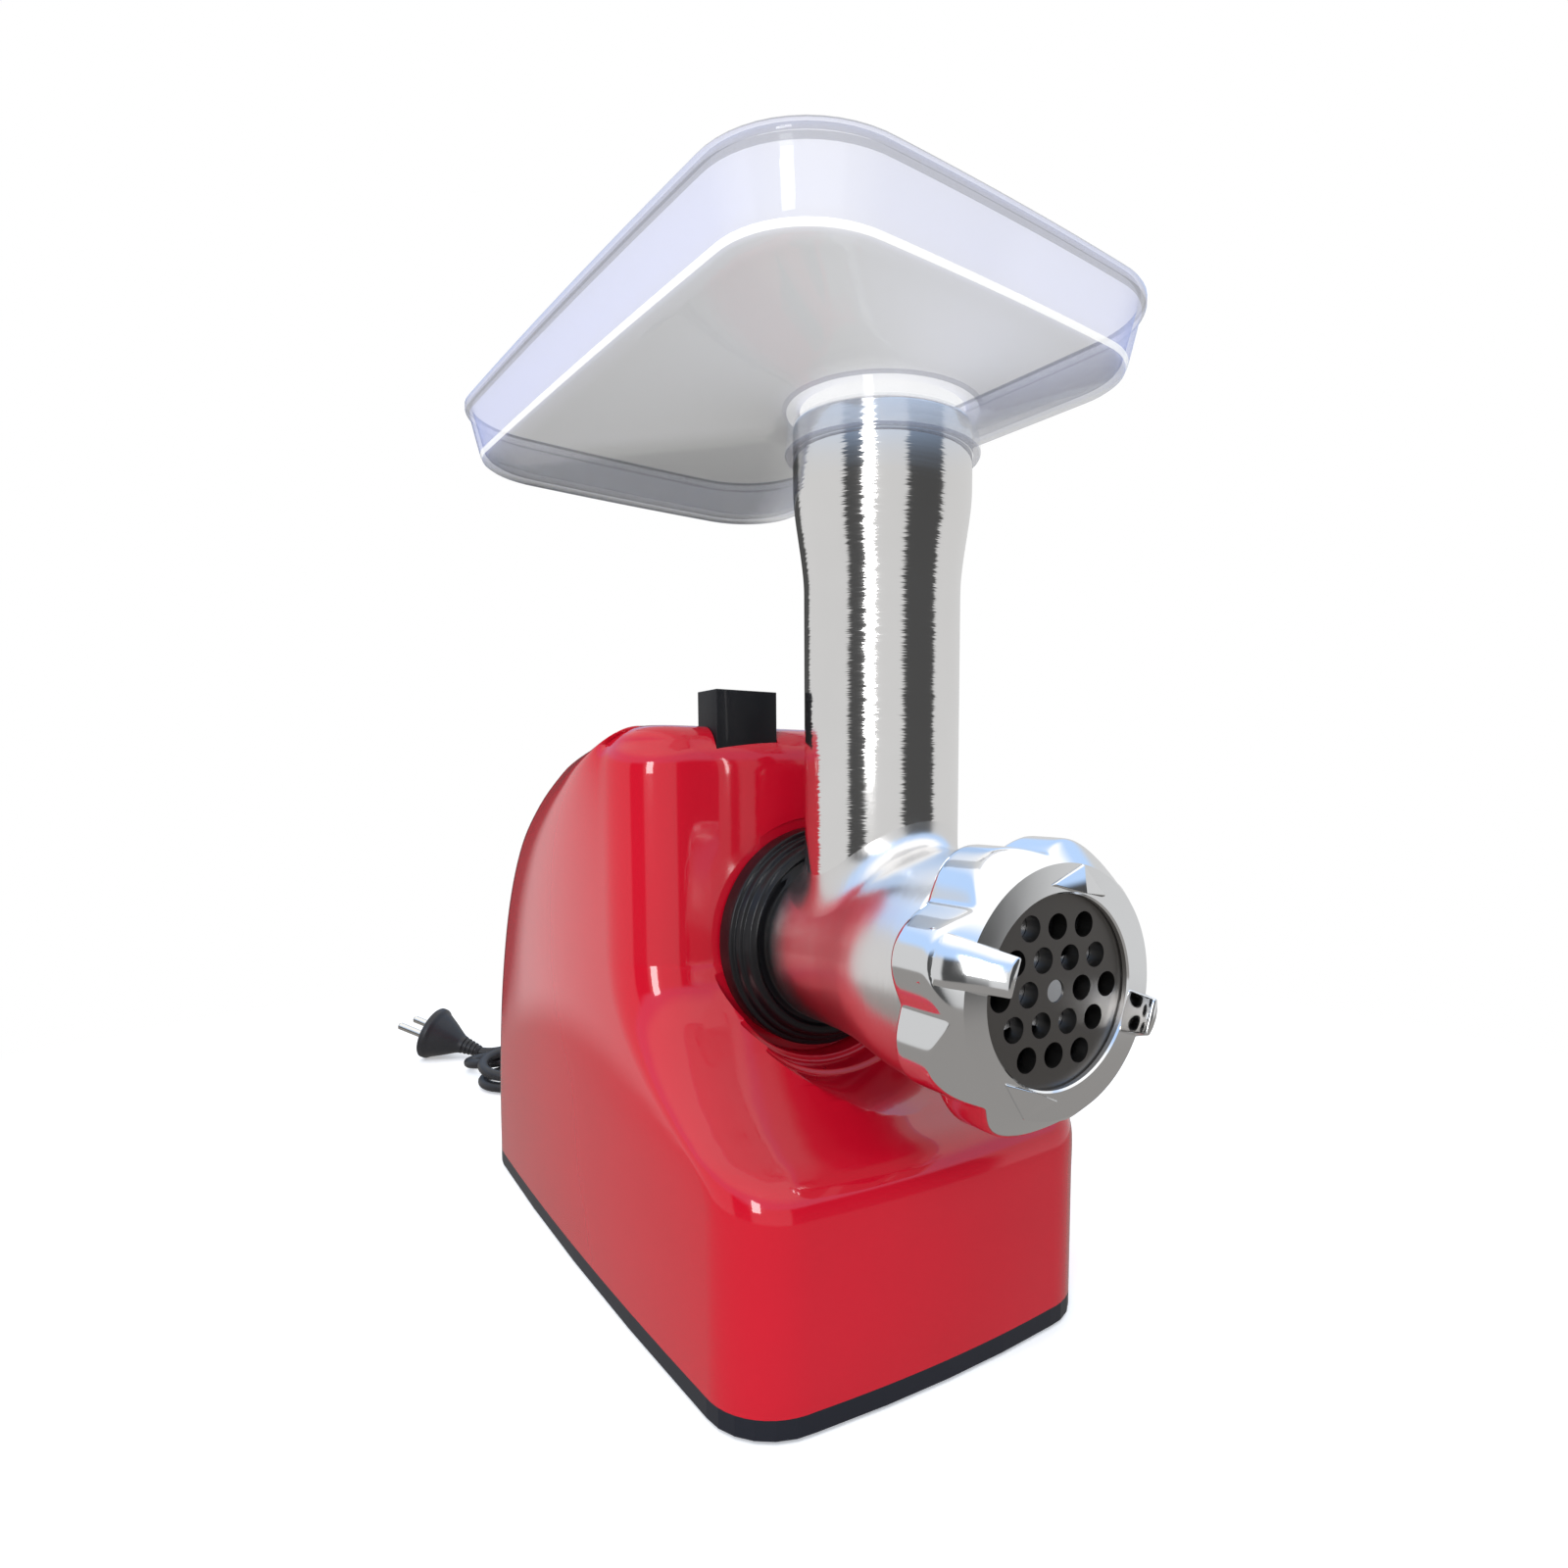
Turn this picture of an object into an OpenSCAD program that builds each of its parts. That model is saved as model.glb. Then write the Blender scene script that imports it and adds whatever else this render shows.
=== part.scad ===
// Electric meat grinder: feed tray, bayonet head, three-stage gear train and folded mains lead.
// Millimetres, +Z up, outlet towards -Y. The origin is under the middle of the machine's box.
// Inside the modules, x = 0 is the head's axis; place() moves them to the origin.

/* [Body] */
// Width of the housing
body_w = 150; // [146:1:156]
// Height of the housing's top above the head's axis
top_rise = 76.5; // [75:0.5:84]
// Y of the housing's back
rear_y = 219; // [212:1:230]
// Y of the upper front face
face_y = 13; // [12:0.5:15]
// Y of the front of the toe
toe_y = -64.5; // [-72:0.5:-60]
// Height where the toe turns into the scoop
toe_z = 66; // [60:1:69]
// Height where the scoop meets the upper face
face_z = 132; // [126:1:138]
// Plan radius of the housing's corners
corner_r = 24; // [16:1:30]
// Radius of the top edges
edge_r = 16; // [10:1:20]
// How far the sides belly out
bow = 2.4; // [0:0.2:3]
// Wall of the housing
wall = 3; // [2:0.25:3.5]
// Height of the base plate's band
band_h = 6.5; // [5:0.5:9]
// How far the feet stand below the band
foot_drop = 1.5; // [1:0.5:3]
// Radius of a rubber foot
foot_r = 9; // [6:0.5:10]

/* [Head] */
// Height of the head's axis
axis_z = 135.5; // [134:0.5:138]
// Y of the cutting plate's front face
plate_y = -106.8; // [-110:0.1:-104]
// Diameter of the cutting plate
plate_d = 62; // [60:0.5:63]
// Thickness of the cutting plate
plate_t = 5; // [4:0.5:6]
// Diameter of a plate hole
hole_d = 7.2; // [4:0.2:8]
// Distance between plate holes
hole_pitch = 10.2; // [9.4:0.1:10.4]
// Radius of the barrel at the mouth
barrel_r = 28.5; // [28:0.25:29]
// Bore radius of the barrel
barrel_bore_r = 25.2; // [24:0.2:25.6]
// Y of the feed tube's axis
tube_y = -27; // [-29:0.5:-27]
// Radius of the feed tube
tube_r = 25.6; // [24:0.2:26]
// Wall of the feed tube
tube_wall = 3; // [2:0.25:4]
// Height of the feed tube's rim
tube_top = 305.6; // [295:1:320]
// Radius of the tube's flared end
flare_r = 29; // [28:0.25:30]
// Radius of the nut over its lobes
nut_r = 42.5; // [41.5:0.25:44]
// Number of lobes on the nut
nut_lobes = 8; // [8:4:12]
// How far the nut's two lugs stand out
lug_out = 9; // [6:0.5:12]
// Pitch of the nut's thread
thread_pitch = 3; // [2:0.5:4]
// Turn of the nut at rest
nut_turn = -18; // [-30:1:30]

/* [Tray] */
// Width of the tray
tray_w = 164; // [150:1:180]
// Reach of the tray in front of the tube's axis
tray_front = 60; // [50:1:70]
// Reach of the tray behind the tube's axis
tray_back = 196; // [170:1:205]
// Height of the tray's floor at its walls above the tube's rim
floor_rise = 20.4; // [18:0.2:24]
// Depth of the tray's walls
tray_depth = 21; // [18:0.5:28]
// Corner radius of the tray
tray_r = 36; // [24:1:42]
// Wall of the tray
tray_wall = 2; // [1.6:0.1:2.4]
// Turn of the tray on the tube
tray_turn = 4; // [0:1:6]

/* [Lock and switch] */
// Width of the lock button
button_w = 24; // [20:1:26]
// Depth of the lock button
button_d = 15; // [12:1:16]
// Height of the lock button above the housing
button_up = 12.5; // [9:0.5:16]
// X of the lock button's middle
button_x = -27; // [-30:0.5:-25]
// Travel of the lock button
button_travel = 4; // [3:0.5:4.5]
// Width of the rocker along Y
rocker_w = 26; // [22:1:30]
// Height of the rocker
rocker_h = 14; // [12:1:18]

/* [Gears] */
// Teeth of the motor's pinion
pinion_teeth = 12; // [12:1:13]
// Teeth of the first idler's wheel
first_teeth = 60; // [58:1:61]
// Module of the first stage
first_mod = 0.8; // [0.78:0.01:0.82]
// Teeth of the first idler's pinion
first_small = 12; // [12:1:13]
// Teeth of the second idler's wheel
second_teeth = 48; // [47:1:49]
// Module of the second stage
second_mod = 1; // [0.98:0.01:1.02]
// Teeth of the second idler's pinion
second_small = 12; // [12:1:13]
// Teeth of the output wheel
output_teeth = 48; // [46:1:48]
// Module of the output stage
output_mod = 1.5; // [1.47:0.01:1.52]

/* [Motor] */
// Height of the motor's shaft
motor_z = 60; // [58:1:62]
// Radius of the rotor
rotor_r = 21.8; // [20:0.2:23]
// Air gap round the rotor
air_gap = 0.5; // [0.4:0.1:0.8]
// Width of the stator
stator_w = 84; // [78:1:90]
// Height of the stator
stator_h = 72; // [68:1:80]
// Length of the stator's stack
stack_l = 42; // [36:1:46]
// Radius of the fan
fan_r = 33; // [28:1:34]

/* [Cord] */
// Diameter of the mains lead
cord_d = 6.4; // [6:0.1:6.6]
// Length of the strain relief behind the housing
relief_l = 26; // [20:1:28]
// X of the lead's exit
relief_x = 45; // [40:1:46]
// Radius of the plug's face
plug_r = 18; // [17.5:0.25:19]
// Length of the plug's body
plug_l = 38; // [34:1:38]
// Diameter of a plug pin
pin_d = 4.8; // [4:0.1:4.8]
// Distance between the plug pins
pin_gap = 19; // [16:0.5:19]
// Length of a plug pin
pin_l = 19; // [14:1:20]

/* [Hidden] */
$fn = 64;
eps = 0.05;
body_h = axis_z + top_rise;
tray_floor_z = tube_top + floor_rise;
tray_top = tray_floor_z + tray_depth;
run = 0.06;      // radial clearance of a running fit
loose = 0.3;     // clearance between pieces that only pass each other

// ---- origin -------------------------------------------------------------------------------------
shift = [4.75, -63.4, 0];
module place() translate(shift) children();

// ---- shared shapes ------------------------------------------------------------------------------
// A round bar along Y between y0 (front) and y1 (back); r is its radius at y1 and rf at y0
module rod(x, z, y0, y1, r, rf) translate([x, y1, z]) rotate([90, 0, 0])
    cylinder(h = y1 - y0, r1 = r, r2 = is_undef(rf) ? r : rf);
// A flat shape in the XZ plane, extruded from y1 forward to y0
module slab(x, z, y0, y1) translate([x, y1, z]) rotate([90, 0, 0]) linear_extrude(y1 - y0) children();
module box(lo, hi) translate(lo) cube(hi - lo);
function arc(cx, cy, r, a0, a1,
    n) = [for (i = [0 : n]) let (a = a0 + (a1 - a0) * i / n) [cx + r * cos(a), cy + r * sin(a)]];
// A rectangle with round corners and sides that belly out, counter-clockwise from its front left corner
function plan(hw, y0, y1, r, b, n = 6) = concat(
    arc(-hw + r, y0 + r, r, 180, 270, n), belly([-hw + r, y0], [hw - r, y0], [0, -b]),
    arc(hw - r, y0 + r, r, 270, 360, n), belly([hw, y0 + r], [hw, y1 - r], [b, 0]),
    arc(hw - r, y1 - r, r, 0, 90, n), belly([hw - r, y1], [-hw + r, y1], [0, b]),
    arc(-hw + r, y1 - r, r, 90, 180, n), belly([-hw, y1 - r], [-hw, y0 + r], [-b, 0]));
function belly(a, b, out) = [for (u = [0.25, 0.5, 0.75]) a * (1 - u) + b * u + out * 4 * u * (1 - u)];
// A closed solid through a stack of rings that all have the same number of points
module loft(rings) {
    n = len(rings[0]);
    m = len(rings);
    polyhedron(points = [for (ring = rings, p = ring) p], convexity = 6, faces = concat(
        [[for (i = [0 : n - 1]) i]],
        [[for (i = [n - 1 : -1 : 0]) (m - 1) * n + i]],
        [for (k = [0 : m - 2], i = [0 : n - 1]) let (j = (i + 1) % n)
            for (t = [[k * n + i, (k + 1) * n + i, (k + 1) * n + j], [k * n + i, (k + 1) * n + j,
                k * n + j]]) t]));
}

// ---- housing ------------------------------------------------------------------------------------
shell_z = foot_drop + band_h;
box_front = face_y + 10;        // front of the gearbox, where the collar's sleeve ends
sleeve_r = 34;
// The scoop between the toe and the upper face, as shares of its depth and height
scoop = [[0, 0], [0.033, 0.106], [0.111, 0.182], [0.255, 0.25], [0.40, 0.318], [0.58, 0.417], [0.74,
    0.53],
    [0.88, 0.667], [0.96, 0.803], [0.99, 0.92], [1, 1]];
// The back, from the table up, as shares of the length behind the upper face and of the height
back = [[1, 0], [0.991, 0.19], [0.953, 0.4], [0.868, 0.613], [0.75, 0.764], [0.605, 0.858], [0.44,
    0.925],
    [0.3, 0.965], [0.23, 0.983], [0.17, 1]];
front_curve = [for (p = scoop) [toe_z + (face_z - toe_z) * p[1], toe_y + (face_y - toe_y) * p[0]]];
back_curve = [for (p = back) [body_h * p[1], face_y + (rear_y - face_y) * p[0]]];
// How far a round edge of radius r has drawn in at height z
function draw_in(z, r) = z <= body_h - r ? 0 : r - sqrt(max(0, r * r - pow(z - body_h + r, 2)));
function front_at(z) = lookup(z, front_curve) + 0.75 * draw_in(z, edge_r);
function back_at(z) = lookup(z, back_curve);
function side_at(z) = body_w / 2 - draw_in(z, edge_r);
function ring_at(z, t) = let (zz = min(z + t, body_h), y0 = front_at(zz) + bow + t,
    y1 = back_at(zz) - bow - t,
    hw = side_at(zz) - t, r = min(corner_r - t, (y1 - y0) / 2 - 1, hw - 1))
    [for (p = plan(hw - bow, y0, y1, r, bow)) [p[0], p[1], z]];
outer_z = concat([shell_z, 30, 50], [for (p = front_curve) p[0]],
    [for (s = [0.69, 0.75, 0.8, 0.85, 0.89, 0.925, 0.95, 0.967, 0.98, 0.99, 0.996, 1]) body_h * s]);
inner_z = concat([shell_z - 1, 40], [for (i = [0, 2, 4, 6, 8, 10]) front_curve[i][0] - wall],
    [for (s = [0.74, 0.84, 0.91, 0.95, 0.98]) body_h * s - wall], [body_h - wall]);
// The trough under the head: the mouth's seat and three widening steps round the axis
seat_y = face_y + 0.6;
collar_r = 40.5;
trough_steps = [[seat_y, 4, collar_r + 3.5, collar_r + 3.5], [4 + eps, -6, collar_r + 6, collar_r + 6],
    [-6 + eps, -75, collar_r + 8, collar_r + 15.6]];
module trough(grow) for (s = trough_steps) rod(0, axis_z, s[1], s[0] + grow, s[2] + grow, s[3] + grow);
// The lock button's guide inside the top
button_y = face_y + 3.5;
guide_z = body_h - 16;
shelf_z = guide_z - 18;
guide_t = 3;
spring_y = button_y + button_d - 5;
module guide_block() {
    box([button_x - button_w / 2 - guide_t, button_y - guide_t, guide_z],
        [button_x + button_w / 2 + guide_t, button_y + button_d + guide_t, body_h]);
    box([button_x - button_w / 2, button_y + button_d + loose, shelf_z],
        [button_x + button_w / 2, button_y + button_d + guide_t, body_h]);
    box([button_x - button_w / 2, spring_y - 4.4, shelf_z],
        [button_x + button_w / 2, button_y + button_d + guide_t, shelf_z + 3]);
}
// Screw posts that the base plate's screws enter
post_x = body_w / 2 - 14;
posts = [[-post_x, toe_y + 24], [post_x, toe_y + 24], [-post_x, rear_y - 28], [post_x, rear_y - 28]];
post_r = 5;
post_h = 34;
switch_y = 150;
switch_z = 70;
bezel_w = rocker_w + 8;
bezel_h = rocker_h + 8;
side_in = body_w / 2 - wall;
relief_z = 17;
bezel_x = body_w / 2 - 1.8;
module housing_shell() color("crimson") place() difference() {
    loft([for (z = outer_z) ring_at(z, 0)]);
    difference() {
        loft([for (z = inner_z) ring_at(z, wall)]);
        trough(wall);
        guide_block();
        for (p = posts) {
            translate([p[0], p[1], shell_z - 2]) cylinder(r = post_r, h = post_h);
            box([min(p[0], sign(p[0]) * body_w), p[1] - 1.5, shell_z - 2],
                [max(p[0], sign(p[0]) * body_w), p[1] + 1.5, shell_z + post_h - 2]);
        }
    }
    trough(0);
    rod(0, axis_z, -10, face_y + 20, sleeve_r + loose);
    box([button_x - button_w / 2 - loose, button_y - loose, flange_z - button_travel - 1],
        [button_x + button_w / 2 + loose, button_y + button_d + loose, body_h + 5]);
    for (p = posts) translate([p[0], p[1], shell_z - 2]) cylinder(r = screw_r, h = post_h - 8);
    box([side_in - 6, switch_y - bezel_w / 2 + 2, switch_z - bezel_h / 2 + 2],
        [body_w, switch_y + bezel_w / 2 - 2, switch_z + bezel_h / 2 - 2]);
    box([bezel_x, switch_y - bezel_w / 2 - loose, switch_z - bezel_h / 2 - loose],
        [body_w, switch_y + bezel_w / 2 + loose, switch_z + bezel_h / 2 + loose]);
    rod(relief_x, relief_z, rear_y - 15, rear_y + 5, relief_neck_r);
    rod(relief_x, relief_z, relief_seat, rear_y + 5, relief_collar_r + 0.2);
    for (i = [-3 : 3]) box([i * 9 - 2, rear_y - 40, 70], [i * 9 + 2, rear_y + 5, 96]);
}

// ---- base ---------------------------------------------------------------------------------------
screw_r = 1.75;
plate_floor = 3;
foot_spots = [for (sx = [-1, 1], y = [toe_y + 26, rear_y - 30]) [sx * (body_w / 2 - 28), y]];
leg_x = [-24, 24];
leg_y = box_front + 12;
leg_w = 12;
leg_spots = [for (x = leg_x) [x, leg_y + 8]];
module base_outline(inset) polygon(plan(body_w / 2 - bow - inset, toe_y + bow + inset,
    rear_y - bow - inset,
    corner_r - inset, bow));
module base_plate() color([0.07, 0.08, 0.11]) place() difference() {
    union() {
        translate([0, 0, foot_drop]) linear_extrude(band_h) base_outline(0);
        translate([-9, bracket_y, foot_drop + 1]) cube([18, bracket_t,
            motor_z - boss_r - foot_drop - 1]);
    }
    difference() {
        translate([0, 0, foot_drop + plate_floor]) linear_extrude(band_h) base_outline(4);
        for (p = concat(posts, leg_spots)) translate([p[0], p[1], 0]) cylinder(r = post_r + 1, h = 20);
        translate([-9, bracket_y, 0]) cube([18, bracket_t, 20]);
    }
    for (p = concat(posts, leg_spots)) translate([p[0], p[1], 0]) {
        cylinder(r = screw_r + 0.25, h = 20);
        cylinder(r = 4, h = foot_drop + 1.6);
    }
    for (p = foot_spots) translate([p[0], p[1], 0]) cylinder(r = foot_r + eps, h = foot_drop + 1);
    for (i = [-4 : 4]) box([i * 8 - 1.5, 96, 0], [i * 8 + 1.5, 136, 20]);
}
module rubber_feet() color([0.12, 0.12, 0.12]) place()
    for (p = foot_spots) translate([p[0], p[1], 0]) cylinder(r = foot_r, h = foot_drop + 1);
// A countersunk-free pan screw that points up, head at z0
module up_screw(z0, len) {
    translate([0, 0, z0]) cylinder(r = 3.3, h = 1.6);
    translate([0, 0, z0 + 1.6]) cylinder(r = screw_r - eps, h = len);
}
module base_screws() color("silver") place() {
    for (p = posts) translate([p[0], p[1], 0]) up_screw(foot_drop, 22);
    for (p = leg_spots) translate([p[0], p[1], 0]) up_screw(foot_drop, 18);
}

// ---- mouth --------------------------------------------------------------------------------------
collar_front = 0.5;
channel_y = [5.5, 9.9];
lug_r = barrel_r + 3.5;
lug_spots = [35, 155, 275];
twist = 45;
module wedge(a, half, r) polygon(concat([[0, 0]], arc(0, 0, r, a - half, a + half, 6)));
module mouth_collar() color([0.04, 0.04, 0.05]) place() difference() {
    union() {
        rod(0, axis_z, 6, seat_y, collar_r);
        rod(0, axis_z, 3.5, 6, collar_r - 2.5);
        rod(0, axis_z, collar_front, 3.5, collar_r - 5);
        rod(0, axis_z, seat_y, box_front, sleeve_r);
    }
    rod(0, axis_z, -5, box_front + 1, barrel_r + run);
    rod(0, axis_z, channel_y[0], channel_y[1], lug_r + 0.4);
    for (a = lug_spots) intersection() {
        rod(0, axis_z, -5, channel_y[1], lug_r + 0.4);
        slab(0, axis_z, -5, channel_y[1]) wedge(a - twist, 14, 50);
    }
    slab(0, axis_z, yoke_y[0] - 0.5, yoke_y[1] + 0.5) translate([-finger_w / 2 - 0.5, -sleeve_r - 2])
        square([finger_w + 1, 12]);
    for (a = screw_spots) rod(ring_r * cos(a), axis_z + ring_r * sin(a), seat_y + 2, box_front + 1,
        1.3);
}
ring_r = (sleeve_r + barrel_r) / 2 + 0.1;
screw_spots = [60, 180, 300];
module collar_screws() color("silver") place() for (a = screw_spots)
    translate([ring_r * cos(a), 0, ring_r * sin(a)]) {
        rod(0, axis_z, seat_y + 3, box_front + 4, 1.25);
        rod(0, axis_z, box_front + 4, box_front + 5.6, 2.4);
    }

// ---- lock ---------------------------------------------------------------------------------------
yoke_y = [box_front - 4.6, box_front - 1.4];
finger_w = 7;
flange_z = guide_z - 2.5;
module lock_button() color([0.03, 0.03, 0.04]) place() {
    box([button_x - button_w / 2, button_y, guide_z - 0.3 - eps],
        [button_x + button_w / 2, button_y + button_d, body_h + button_up]);
    box([button_x - button_w / 2 - 2, button_y + 2.5, flange_z],
        [button_x + button_w / 2 + 2, button_y + button_d, guide_z - 0.3]);
}
// A ring that hangs from the button round the collar's sleeve, with a finger under the barrel
module lock_yoke() color("gainsboro") place() {
    slab(0, axis_z, yoke_y[0], yoke_y[1]) difference() {
        union() {
            circle(r = collar_r);
            translate([0, button_travel + 0.6]) circle(r = collar_r - 1.5);
            translate([button_x - 4, 0]) square([8, flange_z - axis_z]);
        }
        circle(r = sleeve_r + 0.4);
        translate([0, button_travel + 0.6]) circle(r = sleeve_r + 0.4);
    }
    slab(0, axis_z, yoke_y[0], yoke_y[1]) translate([-finger_w / 2, -sleeve_r - 5])
        square([finger_w, sleeve_r + 5 - barrel_r - 0.5]);
}
// A coil of round wire, swept as a chain of short straight rings
module coil(r, wire, turns, h, n = 16, m = 6) loft([for (i = [0 : turns * n]) let (a = 360 * i / n,
    z = wire + (h - 2 * wire) * i / (turns * n))
    [for (k = [m : -1 : 1]) let (b = 360 * k / m) [(r + wire * cos(b)) * cos(a),
        (r + wire * cos(b)) * sin(a), z + wire * sin(b)]]]);
module button_spring() color("lightsteelblue") place() translate([button_x, spring_y,
    shelf_z + 3 + eps])
    coil(3.2, 0.45, 6, flange_z - shelf_z - 3 - 2 * eps);

// ---- switch -------------------------------------------------------------------------------------
pivot_x = bezel_x - 1.5;
module switch_body() color([0.05, 0.05, 0.06]) place() difference() {
    union() {
        box([side_in - 16, switch_y - bezel_w / 2 + 2 + loose, switch_z - bezel_h / 2 + 2 + loose],
            [bezel_x, switch_y + bezel_w / 2 - 2 - loose, switch_z + bezel_h / 2 - 2 - loose]);
        box([bezel_x, switch_y - bezel_w / 2, switch_z - bezel_h / 2],
            [bezel_x + 3.2, switch_y + bezel_w / 2, switch_z + bezel_h / 2]);
        for (s = [-1, 1])
            box([side_in - 22, switch_y + s * 6 - 3, switch_z - 1], [side_in - 15,
                switch_y + s * 6 + 3, switch_z + 1]);
    }
    box([side_in - 8, switch_y - rocker_w / 2 - 0.6, switch_z - rocker_h / 2 - 0.4],
        [body_w, switch_y + rocker_w / 2 + 0.6, switch_z + rocker_h / 2 + 0.4]);
    translate([pivot_x, switch_y, switch_z - bezel_h / 2 + 2]) cylinder(r = 1.5 + run, h = bezel_h - 4);
}
module power_rocker() color([0.02, 0.02, 0.02]) place() {
    translate([pivot_x, switch_y, switch_z - rocker_h / 2]) linear_extrude(rocker_h)
        polygon([[-3, -rocker_w / 2 + 4], [-3, rocker_w / 2 - 4], [2.4, rocker_w / 2], [5,
            rocker_w / 2],
            [3, 0], [5, -rocker_w / 2], [2.4, -rocker_w / 2]]);
    translate([pivot_x, switch_y, switch_z - bezel_h / 2 + 3.2]) cylinder(r = 1.5, h = bezel_h - 6.4);
}

// ---- gears --------------------------------------------------------------------------------------
press_angle = 25;
backlash = 0.12;
function inv(a) = tan(a) * 180 / PI - a;
function tip_r(n, m) = n * m / 2 + 0.8 * m;
function root_r(n, m) = n * m / 2 - 1.1 * m;
function flank(n, m, r) = let (rp = n * m / 2, rb = rp * cos(press_angle))
    90 / n - backlash / 2 / rp * 180 / PI + inv(press_angle) - (r > rb ? inv(acos(rb / r)) : 0);
// A spur gear's outline with a tooth centred at the angle "at"
module teeth(n, m, at) {
    rb = n * m / 2 * cos(press_angle);
    rs = concat([root_r(n, m)], [for (u = [0, 0.35, 0.7, 1]) let (lo = max(rb, root_r(n,
        m) + 0.05)) lo + (tip_r(n, m) - lo) * u]);
    polygon([for (k = [0 : n - 1], side = [-1, 1], i = [0 : len(rs) - 1])
        let (r = side < 0 ? rs[i] : rs[len(rs) - 1 - i], a = at + 360 * k / n + side * flank(n, m,
            r)) [r * cos(a), r * sin(a)]]);
}
// Where the shafts stand, seen from the front: x to the right, z up
two_at = -120;
d_out = output_mod * (output_teeth + second_small) / 2;
d_two = second_mod * (second_teeth + first_small) / 2;
d_one = first_mod * (first_teeth + pinion_teeth) / 2;
idler_two = [d_out * cos(two_at), axis_z + d_out * sin(two_at)];
to_two = [idler_two[0], idler_two[1] - motor_z];
span = norm(to_two);
along = (d_one * d_one - d_two * d_two + span * span) / (2 * span);
across = sqrt(max(0, d_one * d_one - along * along));
idler_one = [0, motor_z] + along * to_two / span + across * [to_two[1], -to_two[0]] / span;
function heading(a, b) = atan2(b[1] - a[1], b[0] - a[0]);
at_one = heading([0, motor_z], idler_one);
at_idlers = heading(idler_one, idler_two);
at_out = heading(idler_two, [0, axis_z]);
// Layers along Y
plate_in = box_front + 4;
stage3 = [box_front + 7, box_front + 18];
stage2 = [stage3[1] + 2, stage3[1] + 10];
stage1 = [stage2[1] + 2, stage2[1] + 9];
case_end = stage1[1] + 3;
case_back = case_end + 4;
hub_r = 12;
tail_r = 8;
axle_one_r = 2.5;
axle_two_r = 3;
socket_r = 7;
drive_flat = 0.1;
module output_gear() color("darkkhaki") place() difference() {
    union() {
        slab(0, axis_z, stage3[0], stage3[1]) teeth(output_teeth, output_mod,
            at_out + 180 + 180 / output_teeth);
        rod(0, axis_z, box_front + 0.5, stage3[0] + eps, hub_r);
        rod(0, axis_z, stage3[1] - eps, stage2[0] + 0.5, hub_r);
        rod(0, axis_z, stage2[0], stage1[1] - 2, tail_r);
    }
    slab(0, axis_z, box_front, box_front + 13) rotate(30) circle(r = socket_r + drive_flat, $fn = 6);
    for (a = [0 : 60 : 300]) rod(24 * cos(a), axis_z + 24 * sin(a), stage3[0] - 1, stage3[1] + 1, 6);
}
module output_bush() color("goldenrod") place() difference() {
    rod(0, axis_z, box_front, stage3[0] - 0.4, hub_r + 3);
    rod(0, axis_z, box_front - 1, stage3[0], hub_r + run);
}
module idler_two() color("darkkhaki") place() difference() {
    union() {
        slab(idler_two[0], idler_two[1], stage3[0], stage2[0] + eps) teeth(second_small, output_mod,
            at_out);
        slab(idler_two[0], idler_two[1], stage2[0], stage2[1]) teeth(second_teeth, second_mod,
            at_idlers + 180 + 180 / second_teeth);
        rod(idler_two[0], idler_two[1], stage2[1] - eps, case_end - 0.5, axle_two_r + 1.4);
    }
    rod(idler_two[0], idler_two[1], stage3[0] - 1, case_end, axle_two_r + run);
}
module idler_two_axle() color("silver") place()
    rod(idler_two[0], idler_two[1], box_front + 1, case_back - 1, axle_two_r);
module idler_one() color("darkkhaki") place() difference() {
    union() {
        slab(idler_one[0], idler_one[1], stage2[0], stage1[0] + eps) teeth(first_small, second_mod,
            at_idlers);
        slab(idler_one[0], idler_one[1], stage1[0], stage1[1]) teeth(first_teeth, first_mod,
            at_one + 180 + 180 / first_teeth);
    }
    rod(idler_one[0], idler_one[1], stage2[0] - 1, stage1[1] + 1, axle_one_r + run);
}
module idler_one_axle() color("silver") place()
    rod(idler_one[0], idler_one[1], box_front + 1, case_back - 1, axle_one_r);
module motor_pinion() color("silver") place() difference() {
    slab(0, motor_z, stage1[0], stage1[1]) teeth(pinion_teeth, first_mod, at_one);
    rod(0, motor_z, stage1[0] - 1, stage1[1] + 1, nose_r);
}

// ---- gearbox ------------------------------------------------------------------------------------
module case_shape(grow) {
    translate([0, axis_z]) circle(r = tip_r(output_teeth, output_mod) + 1.2 + grow);
    translate(idler_two) circle(r = tip_r(second_teeth, second_mod) + 1.2 + grow);
    translate(idler_one) circle(r = tip_r(first_teeth, first_mod) + 1.2 + grow);
    translate([0, motor_z]) circle(r = tip_r(pinion_teeth, first_mod) + 2 + grow);
}
ear_r = 4;
ears = [for (e = [[[0, axis_z], tip_r(output_teeth, output_mod), 35], [[0, axis_z],
    tip_r(output_teeth, output_mod), 145],
    [idler_two, tip_r(second_teeth, second_mod), 190], [idler_one, tip_r(first_teeth, first_mod), 10]])
    e[0] + (e[1] + 1.2 + ear_r) * [cos(e[2]), sin(e[2])]];
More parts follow.
